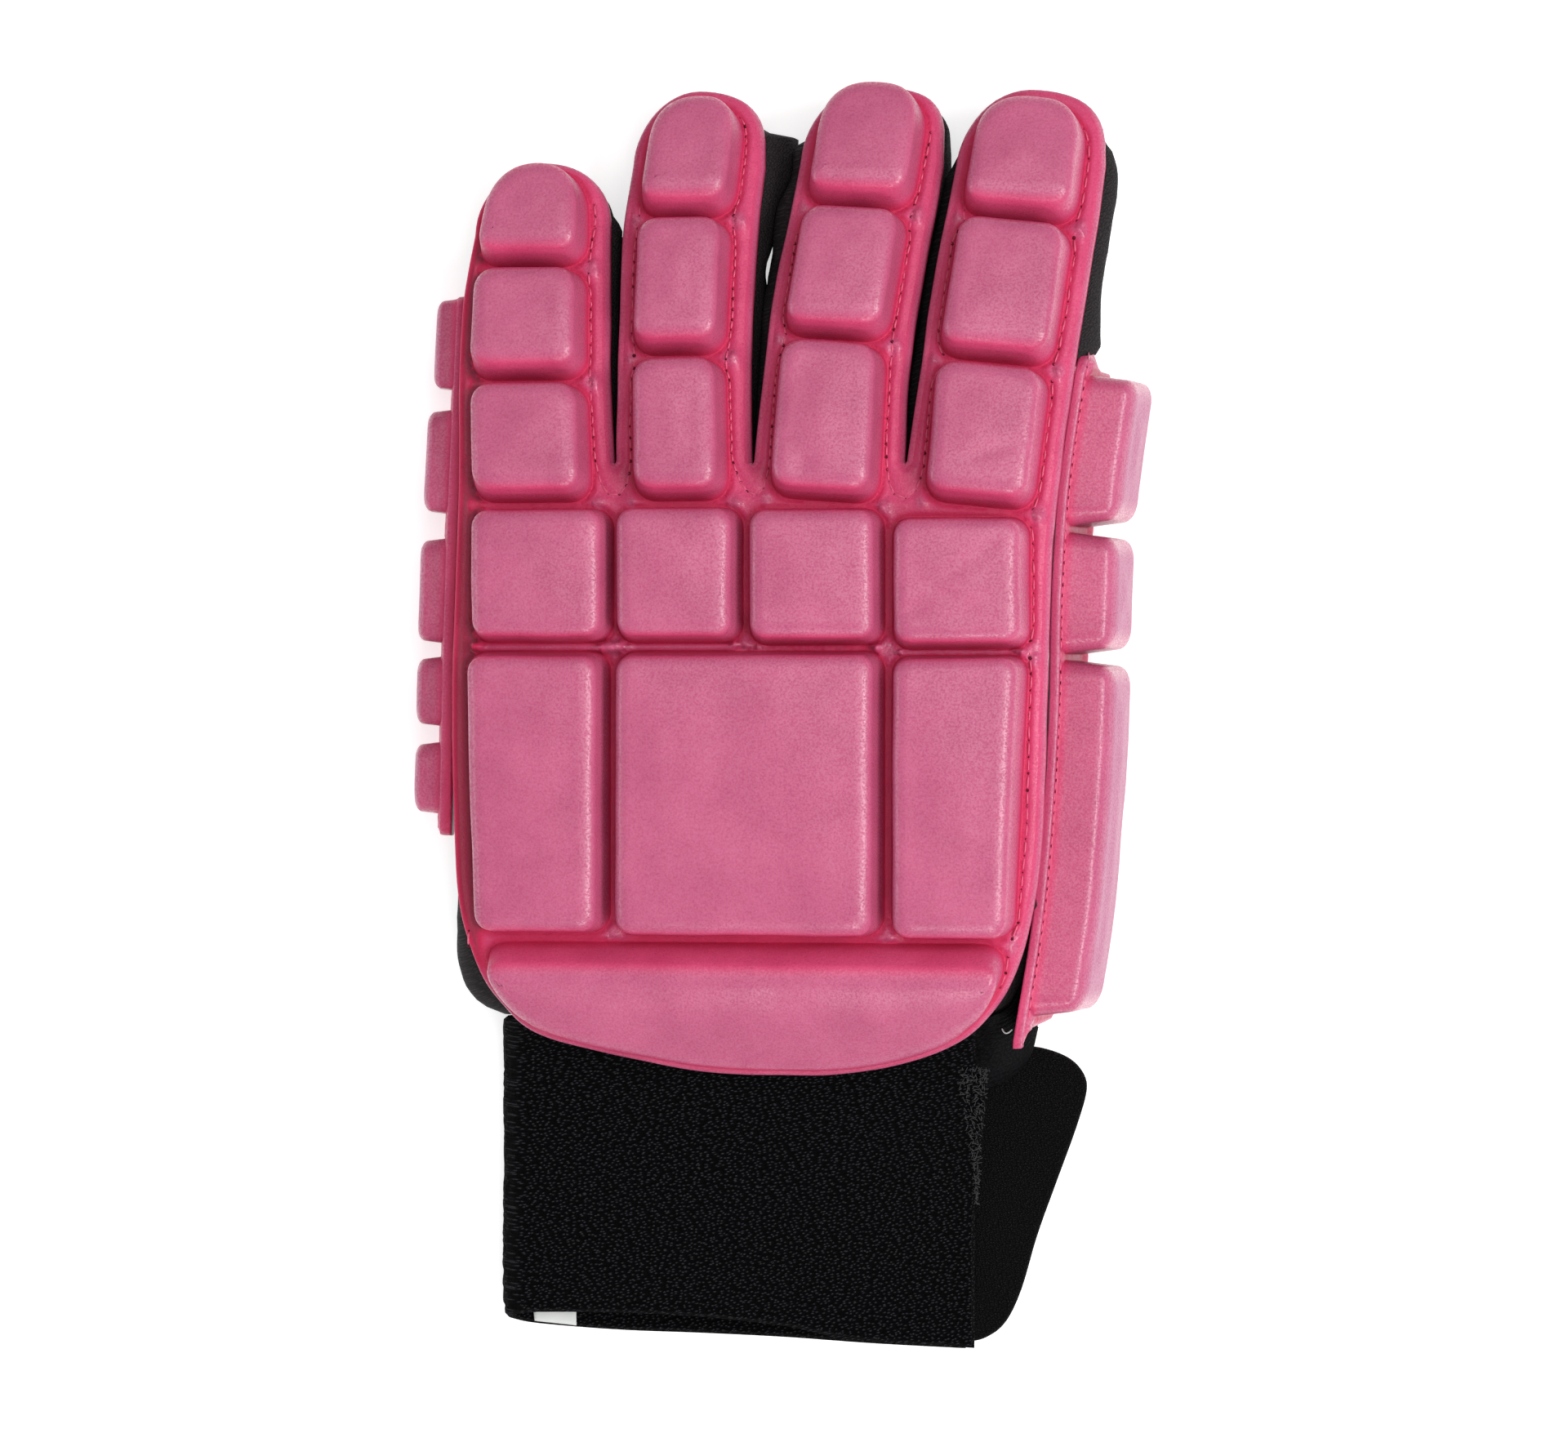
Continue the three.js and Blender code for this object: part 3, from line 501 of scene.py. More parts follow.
def hex_grid(loop, spacing):
    """Evenly spread points over a closed loop's box, cut to the loop."""
    low, high = loop.min(0), loop.max(0)
    rows = np.arange(low[1], high[1], spacing * 0.87)
    grid = np.array([(x + (k % 2) * spacing / 2, y) for k, y in enumerate(rows)
                     for x in np.arange(low[0], high[0], spacing)])
    return grid[inside(grid, loop)]


def raise_block(body, rows, foot, thickness, dents, pale):
    """Adds a block's wall and its face to a sheet. foot: unevenness of the sheet along the wall's foot."""
    moved = []
    for k, row in enumerate(rows):
        row = row.copy()
        row[:, 2] *= rows.share(row[:, 1])
        row[:, 2] += thickness + (foot * (1, 0.8, 0.5, 0.2)[k] if k < 4 else 0)
        row[:, 2] = dented(row, row[:, 2], dents, thickness + 4)
        # On a side panel the walls get painted light, their foot painted shade, and the round edge leads into
        # the outer face's painted shade with a purple tint.
        if pale:
            face = row[:, 3]
            row[:, 3] = -0.6 + 1.35 * ramp(face, -1, -0.5) + 0.25 * ramp(face, 0.3, 1) + ramp(k, 9, 15)
        moved.append(row)
    body.loft(moved)
    brink = moved[-1][:, :2]
    reach = tree_of(brink)
    loose = hex_grid(brink, 1.15)
    points, faces = triangulate([brink], loose[distance_to(reach, loose) > 0.7])
    faces = faces[inside(points[faces].mean(1), brink)]
    level = rows[-1][:, 2].mean() - face_swell(rows[-1], rows.seed).mean()
    height = (level + face_swell(points, rows.seed)) * rows.share(points[:, 1])
    height = thickness + height + 0.3 * ramp(distance_to(reach, points), 0, 7)
    # The face's mask: painted sheen, or on a side panel painted shade with a purple tint.
    body.add(np.column_stack([points, dented(points, height, dents, thickness + 4),
                              np.full(len(points), 1.0 + pale)]), faces)


# Outer edge of a foam sheet: distance in, height, and height on the flatter edge that faces the thumb
LIP = ((0, 0, 0), (0.02, 0.6, 0.5), (0.07, 1.6, 1.3), (0.17, 2.4, 1.7), (0.38, 2.82, 1.95), (0.7, 2.97, 2.3),
       (1.05, 3.0, 2.7), (1.4, 3.0, 3.0))


def foam_sheet(name, outline, blocks, place, thickness, spacing, spots, material, dents=(), seams=(), lip=1.0,
               ridges=(), pale=False, rim=(0, 0, 0.1, 0.8, 0.9, 0.5, 0.1, 0)):
    """A padded foam sheet: round outer edge, valleys beside its blocks, crumples and sewn lines.

    blocks: the rings of its raised blocks. place: from the flat to the glove.
    spots: crumples by place, size and rise. lip: how wide the outer edge is, 1 on the shell.
    pale: the blocks' faces are the outer faces of a side panel, with painted shade and a purple tint of
    reflected light, and their upper walls get painted light.
    rim: colour mask across the outer edge, a painted highlight along the lip or a painted shadow."""
    edge_rings = [offset(outline, row[0] * lip) for row in LIP]
    facing = unit(edge_rings[0] - offset(outline, 0.1))[:, 0]
    bevel = ramp(facing, 0.5, 0.95) * (lip == 1)
    top_edge = edge_rings[-1]
    holes = [rings[0][:, :2] for rings in blocks]
    foot_tree = tree_of(np.concatenate([closed_line(hole, 0.3) for hole in holes]))
    edge_tree = tree_of(closed_line(top_edge, 0.4))
    seam_tree = tree_of(np.concatenate(seams)) if len(seams) else None

    def top(points):
        """Height of the sheet's upper face."""
        near, away = distance_to(foot_tree, points), distance_to(edge_tree, points)
        x, y = points[:, 0], points[:, 1]
        lift = 0.5 * ramp(near, 0.05, 0.85) + 0.07 * noise(x, y, 1.6, 3) + 0.1 * noise(x, y, 5, 4)
        for sx, sy, size, rise in spots:
            close = np.exp(-((x - sx) ** 2 + (y - sy) ** 2) / size ** 2)
            creases = 1 - 2.4 * np.abs(noise(x + y * 0.6, y - x * 0.6, 1.3, 5))
            lift = lift + close * (rise * ramp(near, 0.1, 0.9) + 0.55 * creases)
        for left, right, level, rise in ridges:
            along = (x > left) * (x < right)
            lift = lift + rise * ramp(near, 0.1, 0.75) * along * np.exp(-((y - level) / 1.1) ** 4)
        if seam_tree:
            lift = lift - 0.4 * np.exp(-(distance_to(seam_tree, points) / 0.55) ** 2)
        return thickness + lift * ramp(away, 0, 1.1)

    def in_shade(points):
        """Painted shade: the shell's left flange is darker than the rest."""
        return 1.7 * (lip == 1) * (1 - ramp(points[:, 0], -62.5, -59.5))

    def shade(points):
        """Colour mask of the sheet: painted shade below 0 at a block's foot and on the left flange, 0 in the
        open and a painted highlight up to 0.6 on a crumple or a bead.
        """
        x, y = points[:, 0], points[:, 1]
        value = -0.85 * (1 - ramp(distance_to(foot_tree, points), 0.2, 1.7)) - in_shade(points)
        # Painted highlight on the beads in the grooves and on the crumples.
        for left, right, level, _ in ridges:
            value = value + 1.1 * (x > left) * (x < right) * np.exp(-((y - level) / 0.5) ** 2)
        for sx, sy, size, _ in spots:
            value = value + 1.4 * np.exp(-((x - sx) ** 2 + (y - sy) ** 2) / (0.8 * size) ** 2)
        return np.minimum(value, 0.6)

    body = Body()
    scale = thickness / 3.0
    # Outer edge: the rim mask paints a highlight along the lip or a shadow, and the left flange gets its
    # painted shade.
    body.loft([np.column_stack([r, (h + (low - h) * bevel) * scale, pale_rim - 0.9 * in_shade(r)])
               for r, (_, h, low), pale_rim in zip(edge_rings, LIP, rim)])
    for hole, rows in zip(holes, blocks):
        raise_block(body, rows, top(hole) - thickness, thickness, dents, pale)

    # Upper face of the sheet between the blocks, and its underside
    grid = hex_grid(top_edge, spacing)
    for hole in holes:
        grid = grid[~inside(grid, hole)]
    clear = np.minimum(distance_to(foot_tree, grid), distance_to(edge_tree, grid)) > 0.55 * spacing
    points, faces = triangulate([top_edge, *holes], grid[clear])
    middle = points[faces].mean(1)
    good = inside(middle, top_edge)
    for hole in holes:
        good[good] &= ~inside(middle[good], hole)
    faces = faces[good]
    body.add(np.column_stack([points, top(points), shade(points)]), faces)
    coarse = hex_grid(outline, 7)
    points, faces = triangulate([outline], coarse[distance_to(tree_of(outline), coarse) > 2])
    faces = faces[inside(points[faces].mean(1), outline)]
    body.add(np.column_stack([points, np.zeros((len(points), 2))]), faces)
    flat = body.all()
    piece = make_piece(name, place(flat[:, 0], flat[:, 1], flat[:, 2]), body.faces, material,
                       {"face": flat[:, 3]})
    bpy.context.view_layer.update()
    return piece, top


def triangulate(loops, loose):
    """Triangles over closed loops and loose points between them."""
    points, edges = [], []
    for loop in loops:
        base = len(points)
        points += [Vector(p) for p in loop]
        edges += [(base + k, base + (k + 1) % len(loop)) for k in range(len(loop))]
    points += [Vector(p) for p in loose]
    verts, _, faces, *_ = delaunay_2d_cdt(points, edges, [], 0, 1e-6)
    return np.array([v[:] for v in verts]), np.array([f[:] for f in faces])


def strip_arc(finger, turns=26):
    """Round tip of a finger strip, from its left edge to its right one."""
    rows = finger["strip"]
    y, left, right = rows["y"][-1], rows["left"][-1], rows["right"][-1]
    angle = np.pi * (1 - np.arange(1, turns) / turns)
    power = np.where(angle > np.pi / 2, *finger["arc"])
    return np.column_stack([(left + right) / 2 + (right - left) / 2 * np.cos(angle),
                            y + (finger["tip"] - y) * np.sin(angle) ** power])


def shell_outline():
    """The back shell's edge, counter-clockwise."""
    line = []
    for finger in FINGERS.values():
        heights = np.arange(SLIT_END, finger["strip"]["y"][-1] + 0.1, 2.0)
        left, right = (np.column_stack([smooth(finger["strip"], side, heights), heights])
                       for side in ("left", "right"))
        if line:
            (x0, y0), (x1, _) = line[-1], left[0]
            line += [(x0 + (x1 - x0) * t, y0 - 0.9 * math.sin(math.pi * t)) for t in (0.25, 0.5, 0.75)]
        line += left.tolist() + strip_arc(finger).tolist() + right[::-1].tolist()
    down = [(54.9, 40)] + [(right, y) for y, _, right in HAND]
    up = [(left, y) for y, left, _ in HAND[::-1]] + [(-66.1, 40)]
    line += spline([line[-1], *down, *up, line[0]], 1.2)[1:-1].tolist()
    loop = np.array(line[::-1])
    return loop + unevenness(loop, 8, 1, 2)


def finger_corners(finger):
    """Corners and radii of a finger's three blocks."""
    slant = math.tan(math.radians(finger["slant"]))
    strip = finger["strip"]
    at_tip, at_root, at_right = finger["margin"]

    def cut(y, side):
        share = (finger["tip"] - y) / (finger["tip"] - finger["joints"][-1])
        x0 = float(smooth(strip, "left", y)) + at_tip + (at_root - at_tip) * share
        x1 = float(smooth(strip, "right", y)) - at_right
        x = x0 if side == "left" else x1
        return x, y + slant * (x - (x0 + x1) / 2)
    highs = [finger["tip"] - finger["above"]] + [y - GROOVE / 2 for y in finger["joints"]]
    found = []
    for k, joint in enumerate(finger["joints"]):
        low = joint + GROOVE / 2
        corners = [cut(low, "left"), cut(low, "right"), cut(highs[k], "right"), cut(highs[k], "left")]
        radii = [CORNER + 0.8] * 4
        if k == 0:
            width = corners[2][0] - corners[3][0]
            a, b, c, d = (share * width for share in finger["crown"])
            radii[2:] = [(d, c), (a, b)]
        found.append((corners, radii))
    return found


def wrist_loop():
    """The wrist block's outline: straight above, round below."""
    rim = [(left, y) for y, left, _ in HAND if y < WRIST_BLOCK_TOP]
    rim += [(right, y) for y, _, right in HAND[::-1] if y < WRIST_BLOCK_TOP]
    rim += [(float(smooth(HAND_EDGE, side, WRIST_BLOCK_TOP)), WRIST_BLOCK_TOP + WRIST_FLANGE)
            for side in ("right", "left")]
    corners = inset(rim, WRIST_FLANGE)
    arc = spline([tuple(corners[-1])] + [tuple(c) for c in corners[:-2]] + [tuple(corners[-2])], 1.2)
    (x0, y0), (x1, y1) = arc[0], arc[-1]
    bend = 5.0
    keep = arc[arc[:, 1] < y0 - bend]
    turn = np.linspace(0, 1, 9)[1:-1, None]

    def curve(a, corner, b):
        a, corner, b = (np.asarray(p, float) for p in (a, corner, b))
        return a * (1 - turn) ** 2 + corner * 2 * turn * (1 - turn) + b * turn ** 2
    top_right, top_left = (x1 - bend, y1), (x0 + bend, y0)
    loop = np.concatenate([keep, curve(keep[-1], (x1, y1), top_right), [top_right, top_left],
                           curve(top_left, (x0, y0), keep[0]), keep[:1]])
    return softened(resample(loop, 1.15)[:-1], 4)


def clear_of(line, holes, gap):
    """Points of a line moved out of the blocks' feet."""
    for hole in holes:
        dense = closed_line(hole, 0.3)
        near = tree_of(dense)
        moved = offset(dense, -gap)
        within = inside(line, hole)
        for k, p in enumerate(line):
            _, at, away = near.find((p[0], p[1], 0))
            if within[k] or away < gap:
                line[k] = moved[at]
    return line


def back_shell(material):
    """The foam over the back of the hand, the height of its sheet and its sewn lines in the flat."""
    blocks, spots = [], []
    for finger in FINGERS.values():
        for k, (corners, radii) in enumerate(finger_corners(finger)):
            if k == 0:
                loop = softened(closed_line(rounded_loop(corners, radii, 1.0), 0.95), 3)
                blocks.append(block_rings(loop, None, FINGER_BLOCK, 1.0, len(blocks), slope=(1.9, 1.1, 0)))
            else:
                blocks.append(block_rings(inset(corners, 0.1), radii, FINGER_BLOCK, 1.0, len(blocks),
                                          slope=(1.7 if k == 1 else 1.2, 1.2, 0)))
            (low_left, y_left), (low_right, y_right) = corners[:2]
            spots.append((low_right + 0.9, y_right - GROOVE / 2 - 0.2, 1.6, 0.9))
            spots.append((low_left - 0.5, y_left - GROOVE / 2, 1.1, 0.5))
    for left, right, high, low, left_low, right_low, height in PANELS:
        corners = [(left_low, low), (right_low, low), (right, high), (left, high)]
        blocks.append(block_rings(corners, [CORNER] * 4, height, 1.1, len(blocks), slope=(0.4, 1.2, 0)))
        spots.append((right_low + 0.8, low - 0.9, 2.5, 0.6))
    blocks.append(block_rings(wrist_loop(), None, FINGER_BLOCK, 1.2, len(blocks), slope=(0, 0, 2.0),
                              taper=0.42))
    holes = [rings[0][:, :2] for rings in blocks]
    seams = [(pitch, clear_of(spline(line, 0.3), holes, 0.5)) for pitch, line in SEAMS]
    shell, top = foam_sheet("back_shell_foam", shell_outline(), blocks, back_place, SHEET, 0.62, spots,
                            material, DENTS, [line for _, line in seams], ridges=RIDGES)
    return shell, top, seams


def panel_blocks(side, upper, width, height, edge):
    """Blocks of a panel beside the hand. upper: where the panel starts, for a place along the hand."""
    blocks = []
    for k, (high, low) in enumerate(side["blocks"]):
        left_low, left_high = upper(low) + side["margin"], upper(high) + side["margin"]
        right = width - side["margin"]
        corners = [(left_low, low), (right, low), (right, high), (left_high, high)]
        tall = side["heights"][k] if "heights" in side else height
        short = min(math.dist(a, b) for a, b in zip(corners, corners[1:] + corners[:1]))
        blocks.append(block_rings(corners, [min(CORNER, 0.3 * short)] * 4, tall, 1.2, k + 40, edge))
    return blocks


# Materials

def shader(name):
    """A new material with its nodes, links and Principled BSDF."""
    material = bpy.data.materials.new(name)
    material.use_nodes = True
    nodes = material.node_tree.nodes
    return material, nodes, material.node_tree.links, nodes["Principled BSDF"]


def node(nodes, kind, **settings):
    """A node with settings, each an attribute of the node or the value of a socket in use."""
    made = nodes.new(kind)
    for key, value in settings.items():
        if hasattr(made, key):
            setattr(made, key, value)
    for key, value in settings.items():
        sockets = [socket for socket in made.inputs if socket.name == key and socket.enabled]
        if sockets:
            sockets[0].default_value = value
    return made


def sums(nodes, operation, *values):
    """A math node between 0 and 1, with its values from the second socket on."""
    made = node(nodes, "ShaderNodeMath", operation=operation, use_clamp=True)
    for socket, value in zip(list(made.inputs)[1:], values):
        socket.default_value = value
    return made


def wire(links, *rows):
    """Links: from a node's output to a node's input, four columns."""
    for start, output, end, entry in rows:
        links.new(start.outputs[output], end.inputs[entry])


def group(name, inputs, outputs):
    """A shader node group with named sockets, and its input and output nodes."""
    made = bpy.data.node_groups.new(name, "ShaderNodeTree")
    for label, kind, value in inputs:
        socket = made.interface.new_socket(label, in_out="INPUT", socket_type=kind)
        if value is not None:
            socket.default_value = value
    for label, kind in outputs:
        made.interface.new_socket(label, in_out="OUTPUT", socket_type=kind)
    return made, made.nodes.new("NodeGroupInput"), made.nodes.new("NodeGroupOutput")


FLOAT, VECTOR = "NodeSocketFloat", "NodeSocketVector"


def grain_group():
    """Fine grain: a bumped normal, a mottled mask and small specks."""
    made, source, sink = group(
        "Grain", [("Size", FLOAT, 2500.0), ("Depth", FLOAT, 0.0001), ("Patches", FLOAT, 150.0)],
        [("Normal", VECTOR), ("Mottle", FLOAT), ("Specks", FLOAT)])
    nodes, links = made.nodes, made.links
    place = nodes.new("ShaderNodeTexCoord")
    fine = node(nodes, "ShaderNodeTexNoise", Detail=2.0, Roughness=0.65)
    wide = node(nodes, "ShaderNodeTexNoise", Detail=3.0, Roughness=0.6)
    cells = node(nodes, "ShaderNodeTexVoronoi", feature="SMOOTH_F1", Smoothness=0.4)
    both = node(nodes, "ShaderNodeMath", operation="MULTIPLY_ADD")
    both.inputs[1].default_value = 0.6
    bump = node(nodes, "ShaderNodeBump", Strength=1.0)
    for texture, label in ((fine, "Size"), (wide, "Patches"), (cells, "Size")):
        wire(links, (place, "Object", texture, "Vector"), (source, label, texture, "Scale"))
    wire(links,
         (cells, "Distance", both, 0), (fine, "Fac", both, 2), (both, "Value", bump, "Height"),
         (source, "Depth", bump, "Distance"), (bump, "Normal", sink, "Normal"),
         (wide, "Fac", sink, "Mottle"), (fine, "Fac", sink, "Specks"))
    return made


def loops_group():
    """Woven loops in slanting rows: a bumped normal and a mask that is light on the loops, for their painted
    highlight and the painted shade between them.
    """
    made, source, sink = group(
        "Loops", [("Rows", FLOAT, 900.0), ("Depth", FLOAT, 0.0004), ("Turn", VECTOR, None)],
        [("Normal", VECTOR), ("Light", FLOAT)])
    nodes, links = made.nodes, made.links
    place = nodes.new("ShaderNodeTexCoord")
    turned = node(nodes, "ShaderNodeMapping", vector_type="TEXTURE")
    turned.inputs["Scale"].default_value = (1.0, 0.7, 1.0)
    cells = node(nodes, "ShaderNodeTexVoronoi", voronoi_dimensions="2D", feature="SMOOTH_F1", Smoothness=0.15,
                 Randomness=0.75)
    fuzz = node(nodes, "ShaderNodeTexNoise", Detail=3.0, Roughness=0.7, Scale=2600.0)
    both = node(nodes, "ShaderNodeMath", operation="MULTIPLY_ADD")
    both.inputs[1].default_value = -2.0
    bump = node(nodes, "ShaderNodeBump", Strength=1.0)
    light = nodes.new("ShaderNodeMapRange")
    light.inputs["From Min"].default_value = -0.5
    light.inputs["From Max"].default_value = 0.4
    wire(links,
         (place, "Object", turned, "Vector"), (source, "Turn", turned, "Rotation"),
         (turned, "Vector", cells, "Vector"), (source, "Rows", cells, "Scale"),
         (place, "Object", fuzz, "Vector"), (cells, "Distance", both, 0), (fuzz, "Fac", both, 2),
         (both, "Value", bump, "Height"), (source, "Depth", bump, "Distance"),
         (bump, "Normal", sink, "Normal"), (both, "Value", light, "Value"), (light, "Result", sink, "Light"))
    return made


def place_group(nodes, made, **values):
    """A node group placed in a material with its own values."""
    placed = nodes.new("ShaderNodeGroup")
    placed.node_tree = made
    for key, value in values.items():
        placed.inputs[key].default_value = value
    return placed


def ramp_node(nodes, *stops):
    """A colour ramp from pairs of place and colour."""
    made = nodes.new("ShaderNodeValToRGB")
    while len(made.color_ramp.elements) < len(stops):
        made.color_ramp.elements.new(0.5)
    for element, (at, colour) in zip(made.color_ramp.elements, stops):
        element.position = at
        element.color = (*colour, 1)
    return made


grain = grain_group()
loops = loops_group()


def foam_material():
    """Pearly pink foam: paler and speckled on the blocks' faces, deeper on walls and sheet. The paler colour
    is painted sheen and light, the deeper one painted shade.

    Its mask is -2 on the shell's left flange, -1 in the valleys, 0 on the open sheet, 1 on the blocks' faces
    and 2 on the outer faces of the panels at the sides. Painted shade lies at -2 and -1, painted sheen at 1,
    and painted shade with a purple tint of reflected light at 2."""
    material, nodes, links, skin = shader("pink_foam_skin")
    soft = place_group(nodes, grain, Size=2300.0, Depth=0.00008, Patches=90.0)
    face = node(nodes, "ShaderNodeAttribute", attribute_name="face")
    valley_shade, flange_shade = sums(nodes, "MULTIPLY", -1.0), sums(nodes, "MULTIPLY_ADD", -1.0, -1.0)
    on_outer, dull = sums(nodes, "SUBTRACT", 1.0), sums(nodes, "MULTIPLY_ADD", -0.6, 1.0)
    gloss = sums(nodes, "MULTIPLY_ADD", 0.72, 0.18)
    grainy, coat = sums(nodes, "MULTIPLY"), sums(nodes, "MULTIPLY")
    sparkle = node(nodes, "ShaderNodeMapRange")
    for label, value in (("From Min", 0.45), ("From Max", 0.62), ("To Min", 0.2), ("To Max", 2.1)):
        sparkle.inputs[label].default_value = value
    # Lit and shaded copies of the foam's colour: pale is painted light and sheen, deep is painted shade.
    deep = ramp_node(nodes, (0.35, (0.475, 0.045, 0.122)), (0.7, (0.54, 0.06, 0.15)))
    pale = ramp_node(nodes, (0.35, (0.392, 0.073, 0.155)), (0.7, (0.450, 0.092, 0.184)))
    specks = ramp_node(nodes, (0.3, (0.8, 0.72, 0.76)), (0.43, (1, 1, 1)), (0.6, (1, 1, 1)),
                       (0.74, (1.15, 1.35, 1.3)))
    # Painted shade in the valleys and on the left flange, and painted shade with a purple tint of reflected
    # light on the side panels' outer faces.
    valley, flange, outer = (node(nodes, "ShaderNodeMix", data_type="RGBA", B=colour) for colour in (
        (0.48, 0.020, 0.074, 1), (0.23, 0.026, 0.055, 1), (0.350, 0.054, 0.156, 1)))
    blend = node(nodes, "ShaderNodeMix", data_type="RGBA")
    speckled = node(nodes, "ShaderNodeMix", data_type="RGBA", blend_type="MULTIPLY", Factor=0.8)
    wire(links,
         (soft, "Mottle", deep, "Fac"), (soft, "Mottle", pale, "Fac"), (soft, "Specks", specks, "Fac"),
         (face, "Fac", valley_shade, 0), (valley_shade, "Value", valley, "Factor"), (deep, "Color", valley, "A"),
         (face, "Fac", flange_shade, 0), (flange_shade, "Value", flange, "Factor"), (valley, "Result", flange, "A"),
         (face, "Fac", blend, "Factor"), (flange, "Result", blend, "A"), (pale, "Color", blend, "B"),
         (face, "Fac", on_outer, 0), (on_outer, "Value", outer, "Factor"), (blend, "Result", outer, "A"),
         (outer, "Result", speckled, "A"), (specks, "Color", speckled, "B"),
         (speckled, "Result", skin, "Base Color"),
         (face, "Fac", gloss, 0), (soft, "Specks", sparkle, "Value"), (on_outer, "Value", dull, 0),
         (gloss, "Value", grainy, 0), (sparkle, "Result", grainy, 1), (grainy, "Value", coat, 0),
         (dull, "Value", coat, 1), (coat, "Value", skin, "Coat Weight"), (soft, "Normal", skin, "Normal"))
    skin.inputs["Roughness"].default_value = 0.36
    skin.inputs["Specular IOR Level"].default_value = 0.15
    skin.inputs["Coat Roughness"].default_value = 0.31
    return material


def plain_material(name, colour, roughness, specular=0.15):
    """A material of one colour."""
    material, _, _, skin = shader(name)
    skin.inputs["Base Color"].default_value = (*colour, 1)
    skin.inputs["Roughness"].default_value = roughness
    skin.inputs["Specular IOR Level"].default_value = specular
    return material


def looped_material(name, stops, rows, depth, turn, roughness, specular):
    """Woven cloth: dark between its loops, painted shade, with a painted highlight on them."""
    material, nodes, links, skin = shader(name)
    skin.inputs["Roughness"].default_value = roughness
    skin.inputs["Specular IOR Level"].default_value = specular
    weave = place_group(nodes, loops, Rows=rows, Depth=depth, Turn=(0.5, 0.6, math.radians(turn)))
    shade = ramp_node(nodes, *stops)
    wire(links, (weave, "Light", shade, "Fac"), (shade, "Color", skin, "Base Color"),
         (weave, "Normal", skin, "Normal"))
    return material


foam = foam_material()
cloth = looped_material("black_liner_cloth", [(0.3, (0.010, 0.008, 0.009)), (0.9, (0.030, 0.024, 0.026))],
                        1500.0, 0.00015, 60, 0.75, 0.25)
pleated = looped_material(
    "black_pleated_cloth", [(0.3, (0.0015, 0.0015, 0.002)), (0.9, (0.006, 0.006, 0.007))],
    1500.0, 0.0001, 60, 0.7, 0.08)
terry = looped_material(
    "black_terry_pile",
    [(0.3, (0.0006, 0.0006, 0.0009)), (0.6, (0.005, 0.005, 0.0062)), (0.95, (0.03, 0.03, 0.036))],
    1150.0, 0.0004, 36, 0.85, 0.05)
nap = looped_material(
    "black_nap",
    [(0.3, (0.0006, 0.0005, 0.0006)), (0.7, (0.002, 0.0016, 0.002)), (0.98, (0.02, 0.017, 0.017))],
    2100.0, 0.0002, 10, 0.8, 0.1)
worn = plain_material("grey_worn_loops", (0.032, 0.031, 0.032), 0.8)
tag = plain_material("white_tag_satin", (0.62, 0.63, 0.61), 0.5)
thread = plain_material("pink_thread", (0.58, 0.085, 0.17), 0.5, specular=0.4)
# The needle holes are dark discs on the foam: painted shade of the holes.
hole = plain_material("needle_hole", (0.09, 0.004, 0.014), 0.9)


# The foam pieces

THUMB_CORNERS = [(0, -68.2), (5.0, -64.2), (THUMB["width"], -62.7), (THUMB["width"], 70.2), (15, 70.4),
                 (5.0, 74.6), (0, 71.6)]
THUMB_RADII = [0.9, 3, 4, 4, 3.5, 4, 2.6]
THUMB_SEAM = [(1.5, 70.5), (1.25, 60), (1.15, 40), (1.2, 10), (1.1, -30), (1.3, -62)]
THUMB_EDGE = 3.0             # height of the thumb blocks' round edge
THUMB_SPOTS = [(3.2, 71.4, 2.0, 0.6), (2.6, -62.5, 2.2, 0.5)]
SIDE_EDGE = 1.6              # height of the side blocks' round edge
# Side strip's rim mask: painted shadow along its edge, a faint painted highlight further in.
SIDE_RIM_SHADOW = (-0.7, -0.6, -0.3, 0.2, 0.3, 0.1, 0, 0)


def thumb_panel(material):
    """The foam along the thumb side, the height of its sheet and its sewn line in the flat."""
    seam = spline(THUMB_SEAM, 0.3)
    blocks = panel_blocks(THUMB, lambda y: 0, THUMB["width"], THUMB_BLOCK, THUMB_EDGE)
    panel, top = foam_sheet("thumb_panel_foam", rounded_loop(THUMB_CORNERS, THUMB_RADII), blocks, thumb_place,
                            THUMB_SHEET, 1.0, THUMB_SPOTS, material, seams=[seam], lip=0.6, pale=True)
    return panel, top, seam


def side_upper(y):
    """Where the side strip starts: it ends under the foam of the back."""
    return SIDE["top"] - min(SIDE["top"], float(back_height(-67.0, y)) - 0.9)


def side_strip(material):
    """The foam along the little finger's side."""
    width = SIDE["top"] - SIDE["bottom"]
    heights = np.linspace(*SIDE_ENDS, 90)
    loop = np.array([(side_upper(y), y) for y in heights[::-1]] + [(width, y) for y in heights])
    blocks = panel_blocks(SIDE, side_upper, width, SIDE_BLOCK, SIDE_EDGE)
    return foam_sheet("side_strip_foam", softened(closed_line(loop, 1.1), 9), blocks, side_place,
                      SIDE["thickness"], 1.2, [], material, lip=0.5, pale=True, rim=SIDE_RIM_SHADOW)[0]


def tube(body, line, radii, sides=6):
    """A round thread along a line in space, closed at both ends."""
    line = np.asarray(line, float)
    along = unit(np.gradient(line, axis=0))
    across = unit(np.cross(along, np.where(np.abs(along[:, 2:]) > 0.9, [1, 0, 0], [0, 0, 1])))
    over = np.cross(across, along)
    angle = 2 * np.pi * np.arange(sides) / sides
    rings = [p + r * (np.cos(angle)[:, None] * a + np.sin(angle)[:, None] * b)
             for p, r, a, b in zip(line, radii, across, over)]
    first = range(body.count, body.count + sides)
    body.loft(rings, cap=line[-1])
    body.close(first[::-1], line[0])


